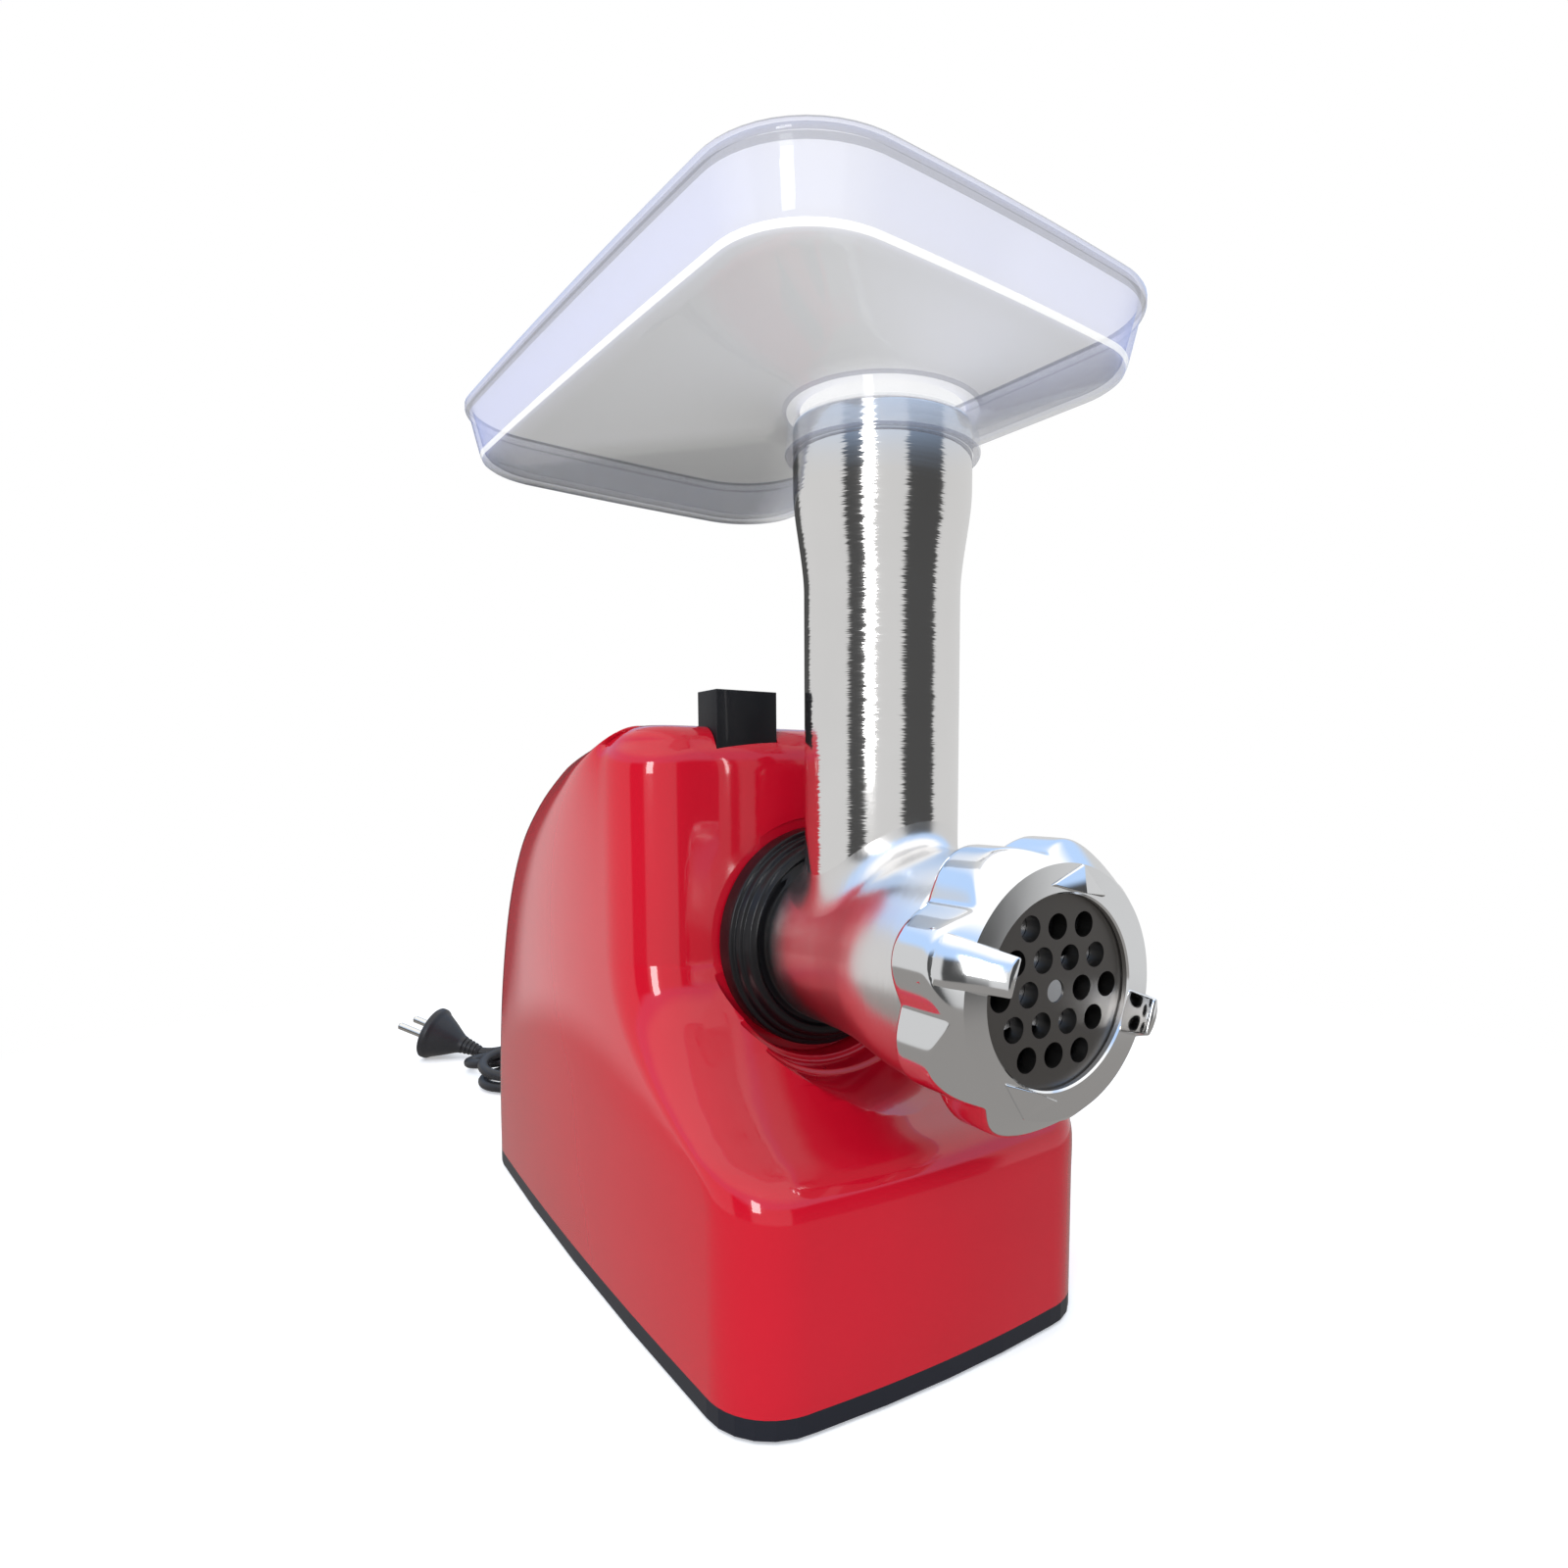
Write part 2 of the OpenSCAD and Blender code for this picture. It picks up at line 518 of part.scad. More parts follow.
module gearbox_front() color("lightgray") place() difference() {
    union() {
        difference() {
            union() {
                slab(0, 0, box_front, case_end) case_shape(3);
                for (e = ears) rod(e[0], e[1], box_front + 10, case_end, ear_r);
                for (x = leg_x) box([x - leg_w / 2, leg_y, shell_z], [x + leg_w / 2, leg_y + 16,
                    motor_z + 22]);
            }
            slab(0, 0, plate_in, case_end + 1) case_shape(0);
        }
        rod(0, axis_z, box_front, stage3[0] - 0.5, hub_r + 7);
        rod(idler_two[0], idler_two[1], box_front, stage3[0] - 0.3, axle_two_r + 3);
        rod(idler_one[0], idler_one[1], box_front, stage2[0] - 0.3, axle_one_r + 3);
    }
    rod(0, axis_z, box_front - 1, stage3[0], hub_r + 3);
    rod(idler_two[0], idler_two[1], box_front + 1, stage3[0], axle_two_r);
    rod(idler_one[0], idler_one[1], box_front + 1, stage2[0], axle_one_r);
    for (a = screw_spots) rod(ring_r * cos(a), axis_z + ring_r * sin(a), box_front - 1, plate_in + 1,
        1.4);
    for (e = ears) rod(e[0], e[1], box_front + 16, case_end + 1, 1.5);
    for (p = leg_spots) translate([p[0], p[1], 0]) cylinder(r = screw_r, h = 30);
}
module gearbox_rear() color("lightgray") place() difference() {
    union() {
        slab(0, 0, case_end, case_back) {
            case_shape(3);
            for (e = ears) translate(e) circle(r = ear_r);
            translate([-stud_x - 5, motor_z - 9]) square([2 * stud_x + 10, 18]);
        }
        rod(0, axis_z, stage2[0] + 1, case_end + eps, tail_r + 4);
        rod(idler_one[0], idler_one[1], stage1[1] + 0.3, case_end + eps, axle_one_r + 2.5);
        rod(0, motor_z, case_back - eps, case_back + 4, bearing_r + 3);
        for (s = [-1, 1]) rod(s * stud_x, motor_z, case_back - eps, stack_y, 5);
    }
    rod(0, axis_z, stage2[0], stage1[1] + 1, tail_r + run);
    rod(0, motor_z, case_end - 1, case_back + 5, bearing_r);
    rod(idler_two[0], idler_two[1], case_end - 1, case_back - 1, axle_two_r);
    rod(idler_one[0], idler_one[1], stage1[1], case_back - 1, axle_one_r);
    for (e = ears) rod(e[0], e[1], case_end - 1, case_back + 1, 1.7);
    for (s = [-1, 1]) rod(s * stud_x, motor_z, case_back - 2, stack_y + 1, stud_r);
}
module gearbox_screws() color("silver") place() for (e = ears) {
    rod(e[0], e[1], box_front + 18, case_back, 1.45);
    rod(e[0], e[1], case_back, case_back + 2, 2.8);
}

// ---- motor --------------------------------------------------------------------------------------
shaft_r = 4;
nose_r = 2;
bearing_r = 9;
boss_r = 13;
stud_r = 1.8;
stud_x = stator_w / 2 - 4;
fan_y = [case_back + 6, case_back + 15];
stack_y = case_back + 23;
stack_end = stack_y + stack_l;
coil_out = 6;
comm_y = [stack_end + coil_out + 5, stack_end + coil_out + 20];
comm_r = 12;
bracket_y = comm_y[1] + 5;
bracket_t = 8;
coil_in = rotor_r + air_gap + 1.6;
coil_r = coil_in + 8;
module rotor_shaft() color("silver") place() {
    rod(0, motor_z, stage1[0] - 1, case_end, nose_r);
    rod(0, motor_z, case_end - eps, bracket_y + bracket_t + 3, shaft_r);
}
module motor_bearings() color("gainsboro") place() for (y = [case_end, bracket_y]) difference() {
    rod(0, motor_z, y, y + bracket_t, bearing_r);
    rod(0, motor_z, y - 1, y + bracket_t + 1, shaft_r + run);
}
module slots(n, r0, r1, w) for (i = [0 : n - 1]) rotate(360 * i / n) translate([r0,
    -w / 2]) square([r1 - r0, w]);
module rotor_core() color("dimgray") place() slab(0, motor_z, stack_y, stack_end) difference() {
    circle(r = rotor_r);
    circle(r = shaft_r);
    slots(12, rotor_r - 8, rotor_r - 1, 3.4);
    slots(12, rotor_r - 2, rotor_r + 1, 1.2);
}
module rotor_windings() color("chocolate") place() {
    slab(0, motor_z, stack_y - coil_out + 1, stack_end + coil_out - 1) slots(12, rotor_r - 8,
        rotor_r - 1, 3.4);
    for (y = [[stack_y - coil_out, stack_y], [stack_end, stack_end + coil_out]]) difference() {
        rod(0, motor_z, y[0], y[1], rotor_r - 1);
        rod(0, motor_z, y[0] - 1, y[1] + 1, shaft_r + 3);
    }
}
module commutator() color("peru") place() slab(0, motor_z, comm_y[0], comm_y[1]) difference() {
    circle(r = comm_r);
    circle(r = shaft_r);
    slots(12, comm_r - 1.5, comm_r + 1, 0.6);
}
module cooling_fan() color("lightslategray") place() difference() {
    union() {
        rod(0, motor_z, fan_y[0], fan_y[0] + 1.6, fan_r);
        rod(0, motor_z, fan_y[0], fan_y[1], shaft_r + 4);
        slab(0, motor_z, fan_y[0] + 1, fan_y[1]) slots(9, shaft_r + 3, fan_r - 0.5, 1.6);
    }
    rod(0, motor_z, fan_y[0] - 1, fan_y[1] + 1, shaft_r);
}
module stator_core() color("slategray") place() slab(0, motor_z, stack_y, stack_end) difference() {
    square([stator_w, stator_h], center = true);
    circle(r = rotor_r + air_gap);
    for (a = [0, 180]) rotate(a) intersection() {
        circle(r = coil_r + 0.4);
        wedge(0, 32, coil_r + 6);
    }
    for (s = [-1, 1]) translate([s * stud_x, 0]) circle(r = stud_r);
}
module sector(a0, a1) polygon(concat(arc(0, 0, coil_r, a0, a1, 24), arc(0, 0, coil_in, a1, a0, 24)));
module field_coils() color("sienna") place() for (up = [0, 180]) {
    slab(0, motor_z, stack_y - coil_out, stack_end + coil_out) rotate(up) {
        sector(3, 29);
        sector(151, 177);
    }
    for (y = [[stack_y - coil_out, stack_y], [stack_end, stack_end + coil_out]])
        slab(0, motor_z, y[0], y[1]) rotate(up) sector(3, 177);
}
module motor_bracket() color("gainsboro") place() difference() {
    union() {
        slab(0, motor_z, bracket_y, bracket_y + bracket_t) {
            circle(r = boss_r);
            translate([-stud_x - 5, -6]) square([2 * stud_x + 10, 12]);
            translate([-9, -boss_r]) square([18, boss_r]);
        }
        for (s = [-1, 1]) rod(s * stud_x, motor_z, stack_end, bracket_y + eps, 5);
    }
    rod(0, motor_z, bracket_y - 1, bracket_y + bracket_t + 1, bearing_r);
    for (s = [-1, 1]) rod(s * stud_x, motor_z, stack_end - 1, bracket_y + bracket_t + 1, stud_r);
}
module motor_screws() color("silver") place() for (s = [-1, 1]) {
    rod(s * stud_x, motor_z, case_back - 2, bracket_y + bracket_t, stud_r);
    rod(s * stud_x, motor_z, bracket_y + bracket_t, bracket_y + bracket_t + 2.4, 3.4);
}
brush_y = comm_y[0] + 7.5;
module brush_holders() color("goldenrod") place() for (s = [0, 180]) translate([0, brush_y,
    motor_z]) rotate([0, s, 0])
    difference() {
        box([comm_r + 2, -5, -6], [stud_x - 5, bracket_y - brush_y, 6]);
        box([comm_r + 1, -3, -4], [stud_x - 6, 3, 4]);
    }
module carbon_brushes() color([0.15, 0.15, 0.16]) place() for (s = [0, 180]) translate([0, brush_y,
    motor_z]) rotate([0, s, 0])
    box([comm_r + 0.3, -3, -4], [stud_x - 10, 3, 4]);

// ---- head ---------------------------------------------------------------------------------------
lip_t = 2.4;
nut_back = plate_y + 21;
nut_front = plate_y - lip_t;
lip_r = 26.8;
thread_r = 34.6;
barrel_front = plate_y + 2.5;
plate_back = plate_y + plate_t;
barrel_end = box_front - 1;
wall_y = barrel_end - 9;
bush_r = 12;
journal_r = 9;
// The barrel's outside: radius and Y, from the back to the front
barrel_line = [[barrel_r, barrel_end], [barrel_r, 0], [barrel_r + 1.5, 0], [barrel_r + 1.5, -34],
    [barrel_r + 2.2, -40],
    [barrel_r + 4.2, -47], [barrel_r + 6.3, -54], [barrel_r + 7.6, -61], [barrel_r + 8, -68],
        [barrel_r + 8, nut_back + 1.4],
    [thread_r, nut_back + 0.4], [thread_r, barrel_front]];
module turned(points) rotate([90, 0, 0]) rotate_extrude($fn = 96) polygon([for (p = points) [p[0],
    -p[1]]]);
tube_foot = axis_z + barrel_r + 6;   // seam between the barrel and its feed tube
module tube_space(top) {
    translate([0, tube_y, axis_z]) cylinder(r = tube_r - tube_wall, h = top);
}
module barrel() color("whitesmoke") place() difference() {
    union() {
        translate([0, 0, axis_z]) turned(concat(barrel_line, [[0, barrel_front], [0, barrel_end]]));
        translate([0, tube_y, axis_z]) cylinder(r = tube_r, h = tube_foot - axis_z);
        for (a = lug_spots) intersection() {
            rod(0, axis_z, channel_y[0] + 0.5, channel_y[1] - 0.5, lug_r);
            slab(0, axis_z, channel_y[0], channel_y[1]) wedge(a, 11, 50);
        }
    }
    rod(0, axis_z, plate_back, wall_y, barrel_bore_r);
    rod(0, axis_z, barrel_front - 1, plate_back, plate_d / 2 + 0.1);
    rod(0, axis_z, wall_y - 1, barrel_end + 1, bush_r);
    tube_space(tube_foot - axis_z + 1);
    slab(0, axis_z, yoke_y[0] - 0.5, yoke_y[1] + 0.5) translate([-finger_w / 2 - 0.5,
        -barrel_r - 1]) square([finger_w + 1, 2.2]);
    box([-1.6, barrel_front - 1, axis_z + plate_d / 2 - 1.5], [1.6, plate_back,
        axis_z + plate_d / 2 + 1.6]);
}
// The tube that stands on the barrel, with the flared end that carries the tray
module feed_tube() color("whitesmoke") place() difference() {
    translate([0, tube_y, 0]) rotate_extrude() polygon([[0, tube_foot], [tube_r, tube_foot],
        [tube_r, axis_z + 122], [tube_r + 0.8, axis_z + 128], [flare_r - 0.7, axis_z + 141],
        [flare_r, axis_z + 147], [flare_r, tube_top - 0.8], [flare_r - 0.8, tube_top], [0, tube_top]]);
    tube_space(124);
    translate([0, tube_y, axis_z + 124 - eps]) cylinder(r1 = tube_r - tube_wall,
        r2 = flare_r - tube_wall, h = 20);
    translate([0, tube_y, axis_z + 144 - 2 * eps]) cylinder(r = flare_r - tube_wall, h = 200);
}
module barrel_bush() color("goldenrod") place() difference() {
    rod(0, axis_z, wall_y, barrel_end, bush_r);
    rod(0, axis_z, wall_y - 1, barrel_end + 1, journal_r + run);
}
// The worm
worm_y = [plate_back + 9, wall_y - 4];
worm_r = barrel_bore_r - 0.6;
worm_turns = 3.5;
flight = concat(arc(0, 0, 9, 52, 308, 10), arc(0, 0, 12, 320, 332, 1), arc(0, 0, worm_r, 339, 381,
    5), arc(0, 0, 12, 388, 400, 1));
module auger() color("lightsteelblue") place() difference() {
    union() {
        translate([0, worm_y[1], axis_z]) rotate([90, 0, 0])
            linear_extrude(worm_y[1] - worm_y[0], twist = 360 * worm_turns,
                slices = 63, $fn = 8) polygon(flight);
        slab(0, axis_z, plate_back + 0.8, worm_y[0] + eps) square(11, center = true);
        rod(0, axis_z, plate_y + 0.4, plate_back + 1, pin_front_r);
    }
    rod(0, axis_z, worm_y[1] - 12, worm_y[1] + 1, 4);
}
pin_front_r = 3.1;
module auger_drive() color("gray") place() {
    rod(0, axis_z, worm_y[1] - 11.5, worm_y[1] + eps, 4);
    rod(0, axis_z, worm_y[1], wall_y - 0.5, journal_r + 2);
    rod(0, axis_z, wall_y - 0.5 - eps, barrel_end + 0.5, journal_r);
    slab(0, axis_z, barrel_end, box_front + 12) rotate(30) circle(r = socket_r, $fn = 6);
}
knife_y = [plate_back + 0.15, plate_back + 8];
module knife() color("silver") place() slab(0, axis_z, knife_y[0], knife_y[1]) difference() {
    union() {
        circle(r = 10.5);
        for (a = [20 : 90 : 290]) rotate(a) polygon([[0, -5.5], [worm_r - 0.2, -1.5], [worm_r + 0.1,
            2], [worm_r - 1.2, 4], [0, 5.5]]);
    }
    square(11 + 0.1, center = true);
}
function lattice(p) = [for (j = [-2 : 2], i = [-2 : 2]) let (x = (i + j / 2) * p, y = j * p * sin(60))
    if (norm([x, y]) < 2.1 * p && norm([x, y]) > 0.1) [x, y]];
module cutting_plate() color("silver") place() difference() {
    rod(0, axis_z, plate_y, plate_back, plate_d / 2);
    rod(0, axis_z, plate_y - 1, plate_back + 1, pin_front_r + run);
    for (q = lattice(hole_pitch)) let (a = -1)
        rod(q[0] * cos(a) - q[1] * sin(a), axis_z + q[0] * sin(a) + q[1] * cos(a), plate_y - 1,
            plate_back + 1, hole_d / 2);
    box([-2, plate_y - 1, axis_z + plate_d / 2 - 2], [2, plate_back + 1, axis_z + plate_d / 2 + 2]);
}
peak_spots = [78.5, 247];
peak_half = 11;
peak_up = 3.2;
face_r = 35;
// A low roof with three corners on the nut's face: its base at the opening, its point at the edge
module peak(a) translate([0, nut_front, axis_z]) rotate([90, -a, 0]) polyhedron(
    points = [[lip_r + 0.3, -peak_half, -0.5], [face_r + 0.4, 0, -0.5], [lip_r + 0.3, peak_half, -0.5],
        [lip_r + 1, -peak_half + 1, 0.5], [face_r - 0.4, 0, 0.6], [lip_r + 1, peak_half - 1, 0.5],
        [lip_r + 0.6, 0, peak_up]],
    faces = [[0, 1, 2], [1, 0, 3, 4], [2, 1, 4, 5], [3, 6, 4], [6, 5, 4], [0, 2, 5, 6, 3]]);
lug_half = 5.8;
lug_tip_r = 29.6;
lug_back = 6;
// A lug that flows out of a lobe: its outer face is a cone, its inner one the opening's wall
module nut_lug(a) intersection() {
    slab(0, axis_z, nut_front - lug_out, nut_front + lug_back) rotate(a)
        translate([lip_r + 0.1, -lug_half]) square([nut_r - lip_r, 2 * lug_half]);
    translate([0, 0, axis_z]) turned([[0, nut_front - lug_out], [lug_tip_r, nut_front - lug_out],
        [nut_r - 1.2, nut_front + lug_back], [0, nut_front + lug_back]]);
}
module ring_nut() color("gainsboro") place() {
    difference() {
        union() {
            intersection() {
                slab(0, axis_z, nut_front, nut_back) {
                    circle(r = nut_r - 4.5);
                    for (i = [0 : nut_lobes - 1]) rotate(nut_turn + 360 * i / nut_lobes)
                        translate([nut_r - 9.5, 0]) circle(r = 9.5);
                }
                translate([0, 0, axis_z]) turned([[0, nut_front], [face_r, nut_front], [nut_r - 0.6,
                    nut_front + 6], [nut_r + 1, nut_front + 9],
                    [nut_r + 1, nut_back - 2], [nut_r - 1.2, nut_back], [0, nut_back]]);
            }
            for (a = [nut_turn, nut_turn + 180]) nut_lug(a);
            for (a = peak_spots) peak(a);
        }
        rod(0, axis_z, plate_y, nut_back + 1, thread_r + run);
        rod(0, axis_z, nut_front - lug_out - 1, plate_y + 1, lip_r);
    }
}

// ---- tray ---------------------------------------------------------------------------------------
throat_r = flare_r - tube_wall + 0.8;
neck_r = flare_r + 2.3;
side_bow = 0.8;
function tray_plan(inset) = plan(tray_w / 2 - inset - side_bow, -tray_front + inset + side_bow,
    tray_back - inset - side_bow, tray_r - inset, side_bow, 7);
function tray_ring(inset, z) = [for (p = tray_plan(inset)) [p[0], p[1], z]];
function neck_ring(r, z) = [for (p = tray_plan(0)) let (a = atan2(p[1], p[0])) [r * cos(a), r * sin(a), z]];
module feed_tray() color("paleturquoise", 0.5) place() translate([0, tube_y,
    0]) rotate(tray_turn) difference() {
    loft([neck_ring(neck_r, tube_top - 9.6), neck_ring(neck_r, tube_top + 5), tray_ring(5.3,
        tray_floor_z),
        tray_ring(1.4, tray_top - 4), tray_ring(0, tray_top - 3.4), tray_ring(0, tray_top)]);
    loft([neck_ring(throat_r, tube_top - 3), neck_ring(throat_r, tube_top + 6.2),
        neck_ring(throat_r + 2, tube_top + 7.4),
        tray_ring(5.3 + tray_wall, tray_floor_z + tray_wall), tray_ring(0.8 + tray_wall,
            tray_top + 1)]);
    translate([0, 0, tube_top - 20]) cylinder(r = flare_r + 0.2, h = 20);
}

// ---- cord ---------------------------------------------------------------------------------------
cord_r = cord_d / 2;
relief_seat = rear_y - 5;
relief_collar_r = 8;
relief_neck_r = 6;
relief_end = rear_y + relief_l;
// A round tube swept along level or gently sloping points
module tube(path, r, sides = 10) {
    m = len(path);
    loft([for (i = [0 : m - 1]) let (d = path[min(i + 1, m - 1)] - path[max(i - 1, 0)],
        t = d / norm(d), s0 = cross(t, [0, 0, 1]),
        s = s0 / norm(s0), v = cross(s,
            t)) [for (k = [sides : -1 : 1]) path[i] + r * (cos(360 * k / sides) * s + sin(360 * k /
            sides) * v)]]);
}
lane = [305, 344, 383];
lead_path = concat([[relief_x, relief_end, relief_z]], [for (p = [[4.5, 16.6], [8.8, 15.4], [13,
    13.5], [17, 10.6], [21, 7.7],
    [25.2, 5.8], [29.5, 4.6], [34, 4.2]]) [relief_x, 245 + p[0], p[1]]],
    [for (a = [18 : 18 : 90]) [relief_x - 26 + 26 * cos(a), 279 + 26 * sin(a), 4.2]],
        [[relief_x - 34, 305, 4.2]]);
module strain_relief() color([0.06, 0.06, 0.07]) place() {
    rod(relief_x, relief_z, relief_seat - 6, relief_seat - 2.6, relief_collar_r);
    rod(relief_x, relief_z, relief_seat - 3, relief_seat + eps, relief_neck_r);
    rod(relief_x, relief_z, relief_seat, rear_y + 1, relief_collar_r);
    rod(relief_x, relief_z, rear_y, relief_end, 4.4, 6.6);
}
module cord_lead() color([0.05, 0.05, 0.05]) place() tube(lead_path, cord_r);
hank_lo = [-54, lane[0] - 3.5];
hank_hi = [92, lane[2] + 3.5];
hank_z = [1, 20.4];
tie_x = 19;
module cord_hank() color([0.06, 0.06, 0.06]) place() translate([0, 0,
    hank_z[0]]) linear_extrude(hank_z[1] - hank_z[0])
    translate(hank_lo) polygon(plan2(hank_hi - hank_lo, 22));
function plan2(d, r) = concat(arc(r, r, r, 180, 270, 7), arc(d[0] - r, r, r, 270, 360, 7),
    arc(d[0] - r, d[1] - r, r, 0, 90, 7), arc(r, d[1] - r, r, 90, 180, 7));
module cord_tie() color([0.1, 0.1, 0.1]) place() difference() {
    box([tie_x - 3, hank_lo[1] - 1, 0], [tie_x + 3, hank_hi[1] + 1, hank_z[1] + 1]);
    box([tie_x - 4, hank_lo[1], hank_z[0]], [tie_x + 4, hank_hi[1], hank_z[1]]);
}
plug_dir = [-0.718, 0.604, 0.345];
plug_face = [-63.5, 419.3, plug_r * 0.9386 + 1.5];
plug_end = plug_face - plug_l * plug_dir;
tail_path = [[12, 384.5, 10.5], [0, 386.5, 9.8], [-8, 388.4, 8.3], [-14, 389.6, 6.8],
    [-19.5, 390.3, 5.6], [-25.3, 391, 4.9], [-30.9, 392.9, 4.7], plug_end, plug_end + 4 * plug_dir];
module cord_tail() color([0.05, 0.05, 0.05]) place() tube(tail_path, cord_r);
module at_plug() translate(plug_face) rotate([0, acos(plug_dir[2]), atan2(plug_dir[1],
    plug_dir[0])]) children();
module plug_body() color([0.05, 0.05, 0.05]) place() at_plug() rotate_extrude() polygon([[0, 0],
    [plug_r - 1, 0], [plug_r, -1.2],
    [plug_r, -4], [plug_r - 1.6, -6], [12, -14], [9, -20], [6.2, -24], [3.6, -plug_l], [0, -plug_l]]);
module plug_pins() color("silver") place() at_plug() for (s = [-1, 1]) translate([0, s * pin_gap / 2,
    0]) {
    cylinder(r = pin_d / 2, h = pin_l - 1);
    translate([0, 0, pin_l - 1 - eps]) cylinder(r1 = pin_d / 2, r2 = pin_d / 2 - 1, h = 1);
}

housing_shell();
base_plate();
rubber_feet();
base_screws();
mouth_collar();
collar_screws();
lock_button();
lock_yoke();
button_spring();
switch_body();
power_rocker();
gearbox_front();
gearbox_rear();
gearbox_screws();
output_gear();
output_bush();
idler_two();
idler_two_axle();
idler_one();
idler_one_axle();
motor_pinion();
rotor_shaft();
rotor_core();
rotor_windings();
commutator();
cooling_fan();
stator_core();
field_coils();
motor_bracket();
motor_bearings();
brush_holders();
carbon_brushes();
motor_screws();
barrel();
feed_tube();
barrel_bush();
auger();
auger_drive();
knife();
cutting_plate();
ring_nut();
feed_tray();
strain_relief();
cord_lead();
cord_hank();
cord_tie();
cord_tail();
plug_body();
plug_pins();
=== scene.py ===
# %% [markdown]
# # An electric meat grinder
# The machine is loaded as a fixed frame of solids. Every cell below dresses one of its pieces or
# adds a finer one over it. Lengths are written in millimetres and turned into metres in one place.

# %% Load the frame
import math

import bmesh
import bpy
from mathutils import Matrix, Vector


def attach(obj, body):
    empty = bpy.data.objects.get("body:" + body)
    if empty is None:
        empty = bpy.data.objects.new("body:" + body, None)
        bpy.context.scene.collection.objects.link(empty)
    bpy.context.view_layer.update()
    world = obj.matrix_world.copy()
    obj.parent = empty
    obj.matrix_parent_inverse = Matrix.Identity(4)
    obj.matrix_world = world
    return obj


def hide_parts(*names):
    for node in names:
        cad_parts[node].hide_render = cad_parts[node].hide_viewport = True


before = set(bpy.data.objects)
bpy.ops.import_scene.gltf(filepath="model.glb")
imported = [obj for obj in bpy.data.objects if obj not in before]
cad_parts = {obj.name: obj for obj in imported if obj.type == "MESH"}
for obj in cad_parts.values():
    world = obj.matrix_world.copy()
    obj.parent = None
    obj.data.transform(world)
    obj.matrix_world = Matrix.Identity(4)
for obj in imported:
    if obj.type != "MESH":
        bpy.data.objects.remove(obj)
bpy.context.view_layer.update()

# %% [markdown]
# The makers of such a machine measure everything from the axis of its head. The frame measures
# from the middle of the machine instead, so one function carries a point from the first to the
# second. Angles round the head's axis are counted from +X towards +Z.

# %% Places
SHIFT = Vector((4.75, -63.4, 0))
AXIS_Z = 135.5
TUBE_Y = -27


def at(x, y, z):
    return (Vector((x, y, z)) + SHIFT) / 1000


def polar(radius, degrees, y):
    a = math.radians(degrees)
    return Vector((radius * math.cos(a), y, AXIS_Z + radius * math.sin(a)))


print("head axis at", tuple(round(v, 4) for v in at(0, 0, AXIS_Z)))

# %% [markdown]
# ## The camera
# The camera stands low in front of the outlet and a little to its left, close enough for the
# verticals to stay upright and the far end to shrink quickly. The lens is wide, and a small
# shift keeps the machine in the frame without tilting the camera further.

# %% Camera
IMAGE = 1600
FOCAL_PX = 961.73
CENTRE_PX = (861.52, 891.02)
CAMERA_AT = (-188.49, -282.34, 190.88)
YAW, PITCH = 34.2, -5.3
SENSOR = 36

lens = bpy.data.cameras.new("camera")
camera = bpy.data.objects.new("camera", lens)
bpy.context.scene.collection.objects.link(camera)
bpy.context.scene.camera = camera
lens.sensor_width = SENSOR
lens.lens = SENSOR * FOCAL_PX / IMAGE
lens.shift_x = (IMAGE / 2 - CENTRE_PX[0]) / IMAGE
lens.shift_y = (CENTRE_PX[1] - IMAGE / 2) / IMAGE
lens.clip_start = 0.01
camera.location = at(*CAMERA_AT)
camera.rotation_euler = (math.radians(90 + PITCH), 0, math.radians(-YAW))
print("lens", round(lens.lens, 2), "mm")

# %% [markdown]
# ## Writing materials as expressions
# A material in Blender is a graph of nodes. Written link by link it is hard to read, so a small
# class wraps one socket and overloads the arithmetic operators: `1 - mask * 0.3` then adds the
# Math nodes by itself. Any other node comes from one method.

# %% Sockets as numbers


class Sock:
    def __init__(self, tree, out):
        self.tree, self.out = tree, out

    def node(self, kind, settings=None, out=0, **inputs):
        n = self.tree.nodes.new(kind)
        for key, value in (settings or {}).items():
            if key == "stops":
                ramp = n.color_ramp
                while len(ramp.elements) < len(value):
                    ramp.elements.new(0.5)
                for e, (pos, grey) in zip(ramp.elements, value):
                    e.position = pos
                    e.color = (grey, grey, grey, 1) if isinstance(grey, (int, float)) else (*grey, 1)
            else:
                setattr(n, key, value)
        for key, value in inputs.items():
            name = int(key[1:]) if key[0] == "i" and key[1:].isdigit() else key.replace("_", " ")
            socket = n.inputs[name]
            if isinstance(value, Sock):
                self.tree.links.new(value.out, socket)
            else:
                socket.default_value = value
        return Sock(self.tree, n.outputs[out])

    def math(self, operation, other=0.0, swap=False):
        a, b = (other, self) if swap else (self, other)
        return self.node("ShaderNodeMath", {"operation": operation}, i0=a, i1=b)

    def __add__(self, o): return self.math("ADD", o)
    def __radd__(self, o): return self.math("ADD", o, True)
    def __sub__(self, o): return self.math("SUBTRACT", o)
    def __rsub__(self, o): return self.math("SUBTRACT", o, True)
    def __mul__(self, o): return self.math("MULTIPLY", o)
    def __rmul__(self, o): return self.math("MULTIPLY", o, True)
    def __truediv__(self, o): return self.math("DIVIDE", o)
    def __pow__(self, o): return self.math("POWER", o)

    def mix(self, a, b):
        """Colour a where this socket is 0, colour b where it is 1."""
        pad = lambda c: c if isinstance(c, Sock) else (*c, 1)
        return self.node("ShaderNodeMix", {"data_type": "RGBA"}, 2, i0=self, i6=pad(a), i7=pad(b))


